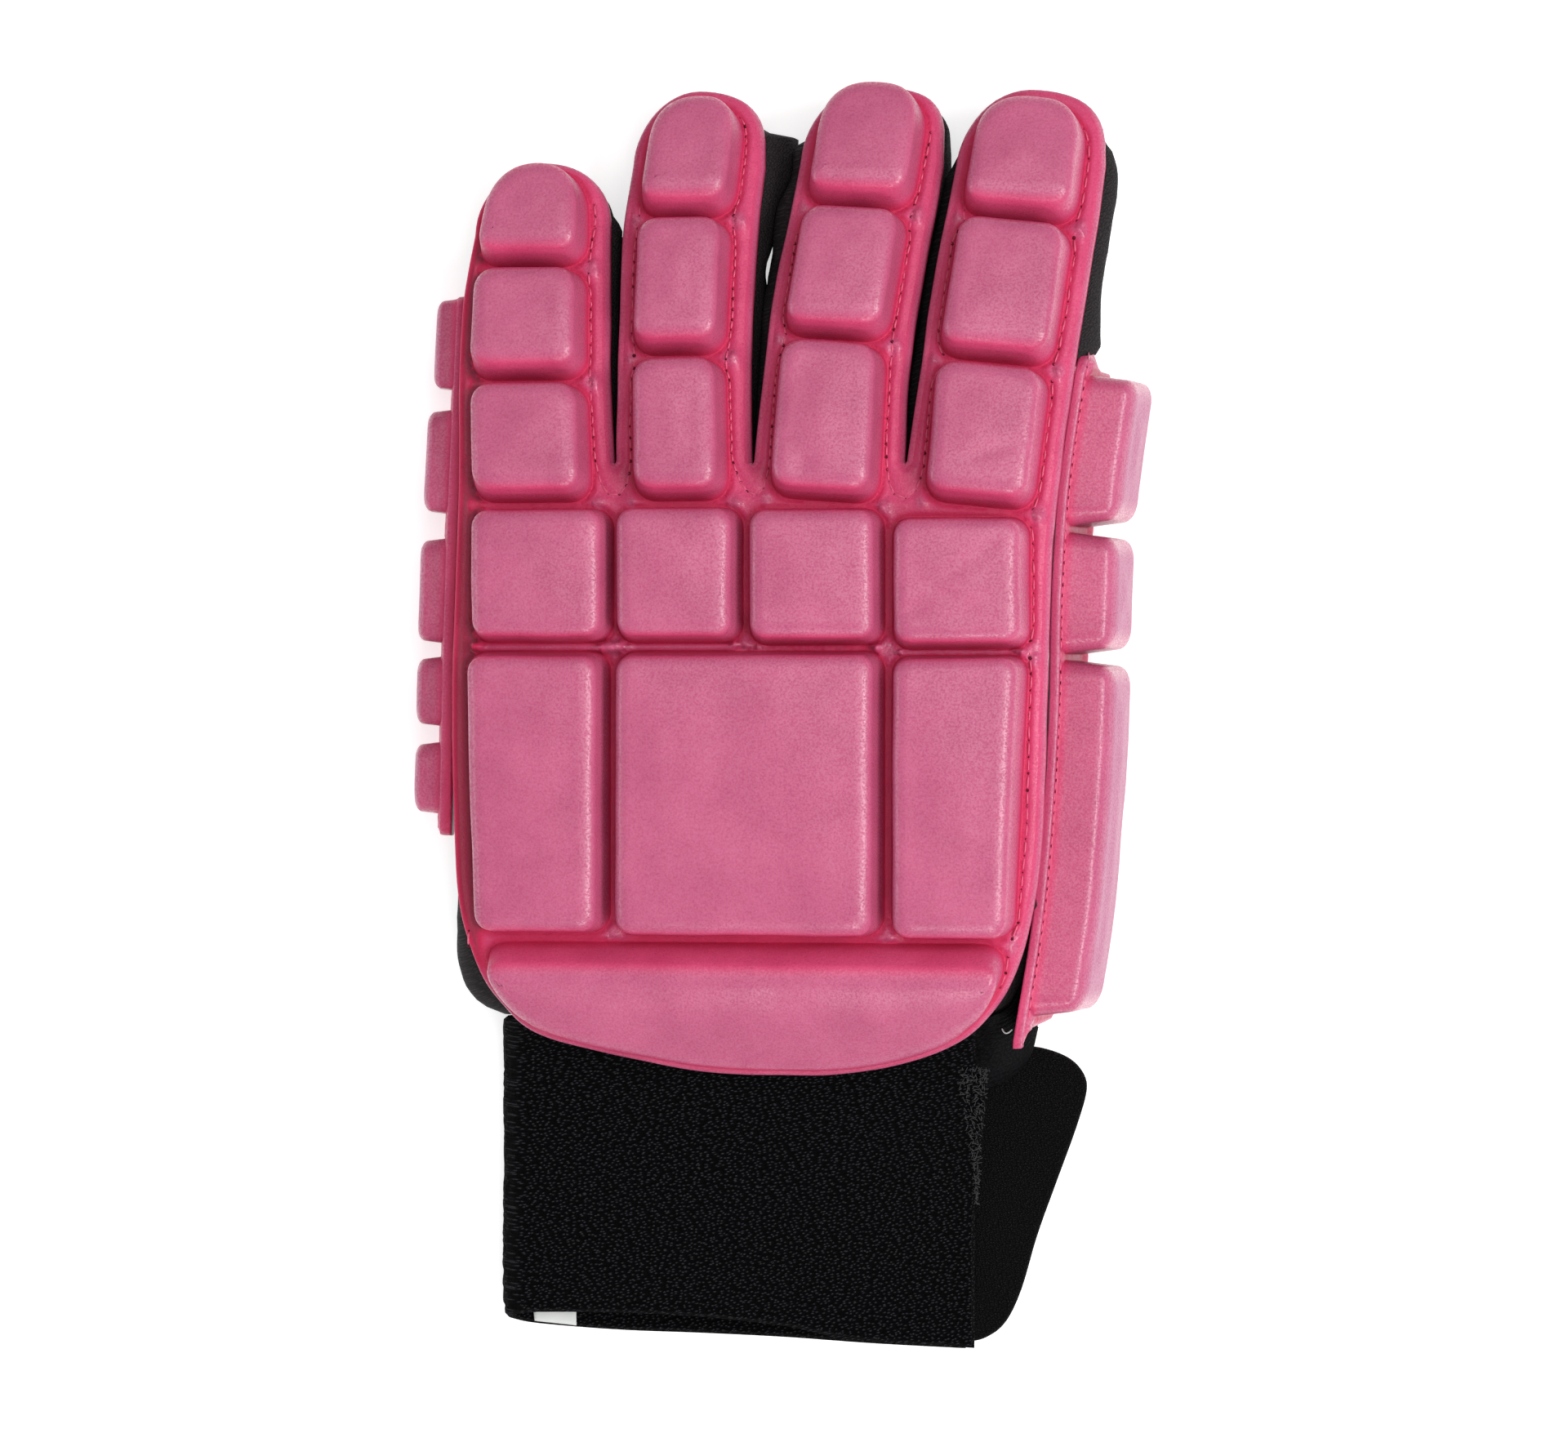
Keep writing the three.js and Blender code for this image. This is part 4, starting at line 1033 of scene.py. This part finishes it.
def sew(name, lines, top, place):
    """Needle holes along the sewn lines, dark discs of painted shade, and the thread that runs between them.
    """
    threads, holes = Body(), Body()
    angle = 2 * np.pi * np.arange(8) / 8
    for k, (pitch, line) in enumerate(lines):
        at = resample(line, pitch)
        at += unevenness(at, 1.7, k, k + 9)
        heights = top(at)
        for j, (p, h) in enumerate(zip(at, heights)):
            size = 0.23 + 0.09 * math.sin(7 * j + k)
            rings = []
            for radius, rise in ((size + 0.12, -0.25), (size, 0.1), (size * 0.6, 0.06)):
                ring = p + radius * np.column_stack([np.cos(angle), np.sin(angle)])
                rings.append(place(ring[:, 0], ring[:, 1], np.full(8, h + rise)))
            holes.loft(rings, cap=place(p[0], p[1], h))
        for a, b, h0, h1 in zip(at[:-1], at[1:], heights[:-1], heights[1:]):
            t = np.array([0.14, 0.24, 0.5, 0.76, 0.86])
            flat = a + (b - a) * t[:, None]
            rise = np.array([-0.12, 0.03, 0.08, 0.03, -0.12]) - 0.08 * math.sin(5 * h0 + 9 * a[1])
            stitch = place(flat[:, 0], flat[:, 1], h0 + (h1 - h0) * t + rise)
            tube(threads, stitch, (0.1, 0.18, 0.2, 0.18, 0.1))
    make_piece(f"{name}_seam_thread", threads.all(), threads.faces, thread, weld=0)
    make_piece(f"{name}_needle_holes", holes.all(), holes.faces, hole, weld=0)


shell, shell_top, shell_seams = back_shell(foam)
panel, panel_top, panel_seam = thumb_panel(foam)
sew("back", shell_seams, shell_top, back_place)
sew("thumb", [(2.2, panel_seam)], panel_top, thumb_place)
for piece, node_name in ((shell, "back_shell"), (panel, "thumb_panel"), (side_strip(foam), "side_strip")):
    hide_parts(node_name)


# Cloth

SLEEVE_ROOT = 46.4
SLEEVE_STEP = 1.6            # distance between the rings of a finger's sleeve, and from its tip to the foam's
SLEEVE_TIP = 7.0             # length of a sleeve's round tip
LIGHT_SLIT = 92.3            # place of the slit of light between the ring and the middle finger
CALM = 92.0                  # place of the stretch beside it without a wave
WAVE = 0.85                  # sideways wave of the fingers' sleeves, so that no light shows between them
SLEEVE_DEPTH = table("y depth", (46, 20), (80, 17), (125, 12))
INDEX_SHOW = table("y show", (40, -0.6), (70.5, -0.4), (74, 4.2), (78, 4.0), (84, 3.2), (95, 2.6), (107, 2.8),
                   (111, 2.4), (115, 1.2), (118, 0), (140, 0))

# Sides of the sleeves that touch a neighbour. The line between the two fingers is followed up to the first
# height, and the sleeve draws back from it between the other two.
TOUCHING = {
    "little": dict(right=(98, 99, 103)),
    "ring": dict(left=(101, 95, 101), right=(112, 118.4, 120.3)),
    "middle": dict(left=(112, 116.0, 118.4), right=(112, 127, 128)),
    "index": dict(left=(112, 108, 116)),
}

THUMB_TUBE = table("y left depth", (-36, 33.5, 21.0), (-20, 34.5, 21.4), (5, 35.5, 21.4), (30, 37.0, 20.5),
                   (50, 39.0, 18.0), (60, 41.0, 16.0))
THUMB_START, THUMB_STRAIGHT, THUMB_TIP = -36, 62, 8.5
THUMB_END = THUMB_STRAIGHT + THUMB_TIP
THUMB_RISE = (18, 31, 22.6)  # where the palm rises over the thumb, and how high
THUMB_CROTCH = (-42, -37)
THUMB_HOLE = ((31, 47.6), (-43.8, -37), (-1, 25.6))
HAND_SLEEVE = table(
    "y left right", (-61.5, -57.4, 42.5), (-59.5, -62.0, 44.5), (-56, -65.2, 46.0), (-50, -66.7, 48.0),
    (-43.8, -66.9, 49.0), (-37, -66.6, 49.6), (-30, -66.5, 50.0), (-10, -66.7, 51.6), (12, -66.2, 52.2),
    (30, -65.7, 52.6), (45.5, -64.9, 53.2))


def strip_edge(finger, side, y):
    """Edge of a finger strip, round at the tip."""
    rows = finger["strip"]
    top = rows["y"][-1]
    straight = smooth(rows, side, np.minimum(y, top))
    rise = np.clip((y - top) / (finger["tip"] - top), 0, 1) ** (1 / finger["arc"][side == "right"])
    middle = (rows["left"][-1] + rows["right"][-1]) / 2
    return middle + (straight - middle) * np.where(y > top, np.sqrt(1 - rise ** 2), 1)


def finger_low(x, y):
    """Underside of the fingers' sleeves, which rises over the folded thumb."""
    over_thumb = ((smooth(THUMB_TUBE, "depth", y) + 0.7) * ramp(x, *THUMB_RISE[:2])
                  * (1 - ramp(y, THUMB_END, THUMB_END + 8)))
    under_foam = back_height(x, y) - SEAT - smooth(SLEEVE_DEPTH, "depth", y)
    return np.maximum(np.maximum(0.2, over_thumb), under_foam)


def tube_ring(y, left, right, low, high, wall, count, power):
    """Rings of a cloth tube, one for each height. power: below 1 it is squarer than an ellipse."""
    angle = 2 * np.pi * np.arange(count) / count
    across = np.sign(np.cos(angle)) * np.abs(np.cos(angle)) ** power
    up = np.sign(np.sin(angle)) * np.abs(np.sin(angle)) ** power
    middle, half = (left + right) / 2, (right - left) / 2
    x = middle[:, None] + np.maximum(half[:, None] - wall, 0.05) * across
    height = y[:, None] + 0 * x
    bottom, top = low(x, height) + wall, high(x, height) - wall
    return np.stack([x, height, bottom + np.maximum(top - bottom, 0.05) * (up + 1) / 2], -1)


def folds(rings, depth, seed):
    """Soft creases that push a tube's wall out and in."""
    centre = rings.mean(1, keepdims=True)
    out = rings - centre
    out[..., 1] = 0
    out = unit(out)
    x, y, z = rings[..., 0], rings[..., 1], rings[..., 2]
    push = noise(x + 1.7 * z, y, 5, seed) + 0.5 * noise(x - z, y, 2.2, seed + 1)
    return rings + out * (push * depth)[..., None]


def cloth_tube(name, rings_at, tip, node_name, wall=1.3, is_open=None, depth=0.2, seed=0):
    """A cloth tube with two faces, open at its root and closed at its tip, or open at both ends.

    is_open: which faces are left out, for a hole in the side."""
    outer, inner = (folds(rings_at(w), depth, seed) for w in (0, wall))
    body = Body()
    m, n = outer.shape[:2]
    grid = np.arange(m * n).reshape(m, n)
    here = ring_quads(m, n)
    kept = here if is_open is None else here[~is_open(outer.reshape(-1, 3)[here].mean(1))]
    body.add(outer.reshape(-1, 3), kept)
    body.add(inner.reshape(-1, 3), kept[:, ::-1])
    size = m * n
    ends = [0] if tip else [0, m - 1]
    for row in ends:
        a = grid[row]
        b = np.roll(a, -1)
        body.faces += np.stack([a, a + size, b + size, b], -1).tolist()
    if is_open is not None:
        sides = {(a, b) for quad in kept.tolist() for a, b in zip(quad, quad[1:] + quad[:1])}
        last = size - n
        body.faces += [[b, a, a + size, b + size] for a, b in sorted(sides)
                       if (b, a) not in sides and not (max(a, b) < n or min(a, b) >= last)]
    if tip:
        for layer, rings in enumerate((outer, inner)):
            body.close(grid[-1] + layer * size, rings[-1].mean(0))
    points = body.all()
    points[:, 2] = np.maximum(points[:, 2], 0.03)
    piece = make_piece(name, points, body.faces, cloth)
    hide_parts(node_name)
    return piece


def gap_between(first, second, y):
    """Where two fingers' sleeves meet. The ring finger's is the wider one near its tip."""
    middle = (strip_edge(FINGERS[first], "right", y) + strip_edge(FINGERS[second], "left", y)) / 2
    return middle + 2.3 * ramp(y, 103, 111) * (first == "ring")


def round_end(y, start, length):
    """Share of a tube's width along its round tip."""
    return np.sqrt(np.clip(1 - ((y - start) / length) ** 2, 0, 1)) * (y > start) + (y <= start)


def drawn_in(left, right, middle, close):
    """Sides of a tube that closes to its middle."""
    return middle + (left - middle) * close ** 0.8, middle + (right - middle) * close ** 0.8


def finger_sleeve(name, seed):
    """Cloth tube of a finger, as wide as its foam strip and reaching its neighbours beside it."""
    finger = FINGERS[name]
    order = list(FINGERS)
    k = order.index(name)
    end = finger["tip"] - SLEEVE_STEP
    start = end - SLEEVE_TIP
    y = np.concatenate([np.arange(SLEEVE_ROOT, start, SLEEVE_STEP),
                        start + SLEEVE_TIP * np.sin(np.linspace(0, np.pi / 2, 12))])
    inner_left, inner_right = strip_edge(finger, "left", y) + 1.0, strip_edge(finger, "right", y) - 0.6
    open_slit = 0.36 * np.exp(-((y - LIGHT_SLIT) / 3.4) ** 2)

    def reach(side, own):
        """Edge of the sleeve where it touches a neighbour. own: where it would be without one."""
        if side not in TOUCHING[name]:
            return own
        followed, draw_back, own_again = TOUCHING[name][side]
        pair = order[k:k + 2] if side == "right" else order[k - 1:k + 1]
        air = 0.05 + open_slit * (pair == ["ring", "middle"])
        at = gap_between(*pair, np.minimum(y, followed)) + air * (1 if side == "left" else -1)
        return own + (at - own) * (1 - ramp(y, draw_back, own_again))
    left, right = reach("left", inner_left), reach("right", inner_right)
    if name == "index":
        right = strip_edge(finger, "right", y) - 0.6 * ramp(y, 115, 118) + smooth(INDEX_SHOW, "show", y)
    close = round_end(y, start, SLEEVE_TIP)
    left, right = drawn_in(np.minimum(left, inner_left), np.maximum(right, inner_right),
                           (inner_left + inner_right) / 2, close)

    def rings_at(wall):
        """Rings of the sleeve's outer face, or of one further in."""
        shut = (1 - close)[:, None]

        def low(x, height):
            return finger_low(x, height) * (1 - 0.6 * shut) + 0.6 * shut * (back_height(x, height) - 4)

        def high(x, height):
            past = np.maximum(0, x - inner_right[:, None]) ** 2 + np.maximum(0, inner_left[:, None] - x) ** 2
            return back_height(x, height) - SEAT - 2.2 * shut - np.minimum(0.05 * past, 1.6)
        rings = tube_ring(np.minimum(y, end - wall), left, right, low, high, wall, 64, 0.5)
        x, height, z = rings[..., 0], rings[..., 1], rings[..., 2]
        across = x - gap_between("ring", "middle", height)
        calm = np.exp(-((height - CALM) / 5) ** 2 - (across / 6) ** 2)
        rings[..., 0] += WAVE * (1 - calm) * np.sin((z - back_height(0, height) + 12) * math.pi / 6)
        return rings
    outer = rings_at(0)
    return cloth_tube(f"{name}_liner", rings_at, True, f"{name}_sleeve", seed=seed, depth=0.16)


for k, finger_name in enumerate(FINGERS):
    finger_sleeve(finger_name, 20 + k)


def hand_rings(wall):
    """Rings of the cloth round the hand, which leaves room for the thumb beside it."""
    y = np.linspace(-61.5, 45.5, 76)
    left, right = smooth(HAND_SLEEVE, "left", y), smooth(HAND_SLEEVE, "right", y) + 2.4
    # The sleeve is widest at this height, lower beside the heel of the hand
    widest = 26.8 - 11.5 * (1 - ramp(y, *THUMB_CROTCH))
    panel_face = smooth(THUMB["edge"], "x", y) + (THUMB["top"] - widest) * math.tan(THUMB["lean"])
    right = np.minimum(right, panel_face - 0.6)

    def low(x, height):
        over = THUMB_RISE[2] * ramp(x + wall, *THUMB_RISE[:2]) * ramp(height + wall, *THUMB_CROTCH)
        return np.maximum(over, finger_low(x, SLEEVE_ROOT + 0 * x) * ramp(height + wall, 14, 46))

    def high(x, height):
        return back_height(x, height) - SEAT
    rings = tube_ring(y, left, right, low, high, wall, 150, 0.45)
    x, height, z = rings[..., 0], rings[..., 1], rings[..., 2]
    # The cloth bulges beside the thumb's root
    bulge = (1 - ramp(z, 11, 17)) * ramp(x, 37.4, 41) * (1 - ramp(height, -48, -44))
    return rings + np.stack([2.0 * bulge, -3.0 * bulge * ramp(-height, 56, 61.5), 0 * z], -1)


def thumb_hole(points):
    """Which points lie where the thumb leaves the hand's cloth."""
    low, high = np.transpose(THUMB_HOLE)
    return ((points > low) & (points < high)).all(1)


cloth_tube("hand_liner", hand_rings, False, "hand_sleeve", wall=1.6, is_open=thumb_hole,
           depth=0.22, seed=31)


def thumb_rings(wall):
    """Rings of the thumb's cloth, folded flat along the side of the hand."""
    y = np.concatenate([np.arange(THUMB_START, THUMB_STRAIGHT, 1.8),
                        THUMB_STRAIGHT + THUMB_TIP * np.sin(np.linspace(0, np.pi / 2, 12))])
    close = round_end(y, THUMB_STRAIGHT, THUMB_TIP)
    depth, left = smooth(THUMB_TUBE, "depth", y), smooth(THUMB_TUBE, "left", y)
    right = smooth(THUMB["edge"], "x", y) + (THUMB["top"] - 0.6 * depth) * math.tan(THUMB["lean"]) - 0.9
    left, right = drawn_in(left, right, (left + right) / 2, close)

    def low(x, height):
        return 0.2 + 0.45 * ((1 - close) * depth)[:, None] + 0 * x

    def high(x, height):
        return (depth * (1 - 0.3 * (1 - close)))[:, None] + 0 * x
    return tube_ring(np.minimum(y, THUMB_END - wall), left, right, low, high, wall, 56, 0.62)


cloth_tube("thumb_liner", thumb_rings, True, "thumb_sleeve", seed=35)


# Cuff

# The cuff's upper end under the foam, its folded left side and open right side, and its fold's depth
BAND = dict(start=-61.9, left=-57.6, right=39.2, fold=5.0, cloth=2.2)
STRAP_EDGE = 37.6            # where the cuff's back layer meets the closing strap
BAND_EDGE = 1.1              # radius of the cuff's round edges
HEM_SEAM = 2.5               # distance from the hem's end to the groove above its ribs
RIB = 1.5

# Ends of the cuff's front and back layers at the hem. The first column runs across the hand.
HEM = table("y front back", (-57.6, -123.2, -124.6), (-50, -122.7, -125.7), (-33.5, -122.8, -127.0),
            (-18, -123.5, -127.6), (-7, -124.6, -128.1), (2, -125.8, -128.6), (10, -127.6, -129.2),
            (20, -128.8, -129.9), (37, -129.9, -130.8))


def band_layer(wall):
    """One face of the cuff: rows along the ribbon, columns from the hand to the hem."""
    step = 0.75
    bend = BAND["left"] + BAND["fold"]
    count = int((BAND["right"] - BAND["left"] - BAND["fold"]) / step)
    turned = np.radians(np.linspace(0, 180, 18)[1:-1])
    x = np.concatenate([
        np.linspace(BAND["right"], bend, count),
        BAND["left"] + BAND["fold"] * (1 - np.sin(turned)),
        np.linspace(bend, STRAP_EDGE, count)])
    up = np.concatenate([np.ones(count), (1 + np.cos(turned)) / 2, np.zeros(count)])
    t = np.linspace(0, 1, 84)
    inward = np.clip((bend - x) / BAND["fold"], 0, 1)
    across = (x + wall * inward)[:, None] + 0 * t
    end = smooth(HEM, "back", across) * (1 - up[:, None]) + smooth(HEM, "front", across) * up[:, None]
    y = BAND["start"] + (end - BAND["start"]) * t
    flare = 2.3 * ramp(y, -101, -76) * (1 - ramp(y, -73.5, -70.5))
    across = across + flare * ramp(across, 26, 39.2) * up[:, None]
    top = back_height(across, y) - SEAT - wall
    z = wall + (top - wall) * up[:, None]
    return np.stack([across, y, z], -1)


def wrist_band():
    """Thick terry cuff with round edges, a ribbed hem and a soft pile."""
    outer, inner = band_layer(0), band_layer(BAND["cloth"])
    steps = np.linalg.norm(np.diff(outer[:, 0], axis=0), axis=1)
    along = np.concatenate([[0], np.cumsum(steps)])[:, None] + 0 * outer[..., 0]
    from_hem = np.abs(outer[:, -1:, 1] - outer[..., 1])
    from_hand = outer[:, :1, 1] - outer[..., 1]
    edge = np.minimum(np.minimum(along, along.max() - along), np.minimum(from_hem, from_hand))
    thick = np.sqrt(np.clip(1 - (1 - np.clip(edge, 0, BAND_EDGE) / BAND_EDGE) ** 2, 0.02, 1))
    middle, half = (outer + inner) / 2, (outer - inner) / 2
    hem = 1 - ramp(from_hem, HEM_SEAM - 0.5, HEM_SEAM + 0.1)
    groove = np.exp(-((from_hem - HEM_SEAM) / 0.35) ** 2)
    ribs = np.sin(along * 2 * math.pi / RIB) * 0.12
    pile = 0.16 * noise(along, outer[..., 1], 1.0, 51) + 0.1 * noise(along, outer[..., 1], 2.1, 52)
    swell = 1 + ((pile * (1 - hem)) + ribs * hem - 0.35 * groove - 0.1 * hem) / (BAND["cloth"] / 2)
    wave = 0.35 * noise(along, outer[..., 1], 22, 53)
    side = unit(half) * wave[..., None] * ramp(edge, 0, 8)[..., None]
    side[..., 2] = np.where(outer[..., 2] < 3, 0, side[..., 2])
    body = two_faced(middle + half * (thick * swell)[..., None] + side,
                     middle - half * thick[..., None] + side)
    points = body.all()
    points[:, 2] = np.maximum(points[:, 2], 0.02)
    piece = make_piece("terry_cuff", points, body.faces, terry)
    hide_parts("wrist_band")
    return piece


wrist_band()

# Closing strap: height over the floor, thickness, outline, and round edge by distance in and height
STRAP = dict(
    lift=0.3, cloth=2.0,
    outline=[(37.2, -129.2), (40.6, -129.1), (45.4, -126.0), (49.0, -119.0), (52.4, -107.5), (56.2, -96.9),
             (60.5, -85.1), (62.7, -77.2), (61.8, -73.7), (59.4, -71.1), (55.7, -69.4), (51.0, -68.4),
             (45.0, -68.8), (37.2, -69.6)],
    profile=[(0.95, 0.0), (0.45, 0.1), (0.12, 0.45), (0, 1.0), (0.12, 1.55), (0.45, 1.9), (0.95, 2.0)])


def closing_strap():
    """Smooth napped tab with round corners, in rings from the middle of its lower face to its upper one."""
    loop = softened(closed_line(spline(STRAP["outline"], 0.8), 0.8), 3)
    middle = loop.mean(0)
    rows = [np.column_stack([offset(loop, d), np.full(len(loop), STRAP["lift"] + h)])
            for d, h in STRAP["profile"]]

    def shrunk(row, scale):
        return np.column_stack([middle + (row[:, :2] - middle) * scale, row[:, 2]])
    scales = (0.93, 0.82, 0.68, 0.5, 0.3, 0.12)
    rows = ([shrunk(rows[0], scale) for scale in scales[::-1]] + rows
            + [shrunk(rows[-1], scale) for scale in scales])
    body = Body()
    body.loft(rows, cap=[*middle, STRAP["lift"] + STRAP["cloth"]])
    body.close(range(len(loop))[::-1], [*middle, STRAP["lift"]])
    points = body.all()
    points[:, 2] += 0.22 * noise(points[:, 0], points[:, 1], 14, 61) + 0.2
    piece = make_piece("nap_strap", points, body.faces, nap)
    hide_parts("closing_strap")
    return piece


closing_strap()

# Tag: sides, the end inside the cuff and the one that shows, height over the floor and thickness
LABEL = dict(left=-52.7, right=-42.9, high=-113, low=-125.0, z=2.75, cloth=0.36)


def size_tag():
    """Plain white tag that lies over the hem."""
    u, v = np.meshgrid(np.linspace(0, 1, 14), np.linspace(0, 1, 18), indexing="ij")
    x = LABEL["left"] + (LABEL["right"] - LABEL["left"] - 1.2 * (1 - v)) * u + 1.4 * (1 - v)
    y = LABEL["low"] + (LABEL["high"] - LABEL["low"]) * v - 1.0 * u * (1 - v)
    z = LABEL["z"] + 0.25 * np.sin(u * 5 + 1) * (1 - v)
    half = LABEL["cloth"] / 2
    body = two_faced(np.stack([x, y, z + half], -1), np.stack([x, y, z - half], -1))
    piece = make_piece("plain_tag", body.all(), body.faces, tag)
    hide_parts("size_label")
    return piece


size_tag()


# Cloth at the wrist's thumb side

# The gusset's upper edge, under the foam, and its lower edge, beside the strap
GUSSET_TOP = [(38.0, -61.6, 22.8), (40.0, -61.6, 23.6), (42.5, -61.3, 24.6), (45.0, -60.3, 23.8),
              (46.9, -58.3, 22.8), (48.0, -55.0, 22.4), (48.7, -52.0, 22.3)]
GUSSET_LOW = [(38.2, -78.0, 3.7), (43.5, -76.2, 3.7), (47.6, -73.6, 3.7), (50.6, -70.2, 3.9),
              (52.0, -64.5, 4.8)]
GUSSET_CLOTH = 0.9
GUSSET_BULGE = 1.2 * np.array([0.35, -0.5, 0.6])
PLEATS = 15


def wrist_gusset():
    """Pleated cloth between the cuff and the thumb panel."""
    count, rows = 60, 110
    high = resample(spline(GUSSET_TOP, 0.1), 0.05)
    low = resample(spline(GUSSET_LOW, 0.1), 0.05)
    pick = np.linspace(0, 1, count)
    high, low = (line[(pick * (len(line) - 1)).astype(int)] for line in (high, low))
    v = np.linspace(0, 1, rows)[:, None, None]
    sheet = high * (1 - v) + low * v
    sheet = sheet + GUSSET_BULGE * (4 * v * (1 - v))
    along = np.gradient(sheet, axis=1)
    down = np.gradient(sheet, axis=0)
    out = unit(np.cross(down, along))
    fall = v[..., 0] ** 0.8
    wave = np.sin(2 * math.pi * (PLEATS * fall - 1.5 * pick)) * (0.1 + 0.2 * np.sin(math.pi * fall))
    sheet = sheet + out * wave[..., None]
    body = two_faced(sheet + out * GUSSET_CLOTH / 2, sheet - out * GUSSET_CLOTH / 2)
    piece = make_piece("wrist_gusset", body.all(), body.faces, pleated)
    return piece


wrist_gusset()

# Edges of the worn strip beside the cuff's opening
WORN_STRIP = table("y left right", (-101, 39.5, 39.6), (-93, 38.9, 40.1), (-84, 37.5, 40.7),
                   (-76, 35.6, 41.7), (-72, 36.3, 42.0))
WORN_LOOPS = 230


def cuff_loops():
    """Worn loops of the pile along the cuff's open edge."""
    body = Body()
    turn = np.linspace(0, math.pi * 1.3, 8)
    for _ in range(WORN_LOOPS):
        y = -72.2 - 28 * random.random() ** 1.5
        x = random.uniform(*(np.interp(y, WORN_STRIP["y"], WORN_STRIP[side]) for side in ("left", "right")))
        z = float(back_height(x, y)) - SEAT - 0.2
        heading, size, tall = random.uniform(0, math.pi), random.uniform(0.3, 0.7), random.uniform(0.3, 0.7)
        line = np.stack([x + size * np.cos(turn) * math.cos(heading),
                         y + size * np.cos(turn) * math.sin(heading), z + tall * np.sin(turn)], -1)
        tube(body, line, [0.09] * len(turn), 5)
    return make_piece("cuff_edge_loops", body.all(), body.faces, worn, weld=0)


cuff_loops()


THREAD_END = [(44.5, -64.0, 22.6), (44.8, -64.6, 23.0), (45.3, -64.9, 23.2), (45.9, -64.7, 23.2),
              (46.5, -64.2, 22.8)]
THREAD_RADIUS = 0.14


def loose_thread():
    """Short white end of thread that hooks out beside the thumb panel's lower corner."""
    line = spline(THREAD_END, 0.2)
    body = Body()
    tube(body, line, [THREAD_RADIUS] * len(line), 6)
    return make_piece("loose_thread_end", body.all(), body.faces, tag, weld=0)


loose_thread()


# Stage, light and camera

scene = bpy.context.scene


def pale_floor():
    """Plain floor, white as paper."""
    mesh = bpy.data.meshes.new("floor")
    mesh.from_pydata([(-3, -3, 0), (3, -3, 0), (3, 3, 0), (-3, 3, 0)], [], [(0, 1, 2, 3)])
    white = plain_material("pale_floor", (0.7, 0.7, 0.7), 0.9)
    glow = white.node_tree.nodes["Principled BSDF"].inputs
    glow["Emission Color"].default_value = (1, 1, 1, 1)
    glow["Emission Strength"].default_value = 0.6
    mesh.materials.append(white)
    floor = bpy.data.objects.new("floor", mesh)
    scene.collection.objects.link(floor)


def soft_light(name, at, size, power):
    """A softbox that faces the glove."""
    lamp = bpy.data.lights.new(name, "AREA")
    lamp.shape, lamp.size, lamp.size_y, lamp.energy = "RECTANGLE", size[0], size[1], power
    made = bpy.data.objects.new(name, lamp)
    scene.collection.objects.link(made)
    made.location = at
    made.rotation_euler = (Vector((0, 0, 0.02)) - Vector(at)).to_track_quat("-Z", "Y").to_euler()


def studio_light():
    """Soft light from above and from the right, with weaker light from the front and the left."""
    soft_light("overhead_softbox", (0.12, 0.4, 1.7), (1.2, 1.2), 9.5)
    soft_light("right_softbox", (0.78, -0.12, 1.15), (1.1, 0.45), 16)
    soft_light("front_softbox", (0.1, -1.1, 1.1), (0.6, 0.3), 7)
    soft_light("left_strip", (-1.2, 0.0, 0.4), (0.9, 0.06), 3.0)
    world = bpy.data.worlds.new("studio")
    scene.world = world
    world.use_nodes = True
    world.node_tree.nodes["Background"].inputs["Color"].default_value = (1, 1, 1, 1)
    world.node_tree.nodes["Background"].inputs["Strength"].default_value = 0.35
    scene.view_settings.view_transform = "Standard"


CAMERA_HEIGHT = 1.6
SCALE_LEVEL = 0.035          # height over the floor at which the photograph's scale holds
MM_PER_PIXEL = 0.165
PHOTO_WIDTH = 1920


def photo_camera():
    """Camera straight above the glove, with the photograph's scale."""
    lens = bpy.data.cameras.new("camera")
    lens.sensor_width = 36
    lens.lens = lens.sensor_width * (CAMERA_HEIGHT - SCALE_LEVEL) / (PHOTO_WIDTH * MM_PER_PIXEL * MM)
    lens.clip_start = 0.05
    camera = bpy.data.objects.new("camera", lens)
    scene.collection.objects.link(camera)
    camera.location = (0.0001, 0, CAMERA_HEIGHT)
    scene.camera = camera


pale_floor()
studio_light()
photo_camera()
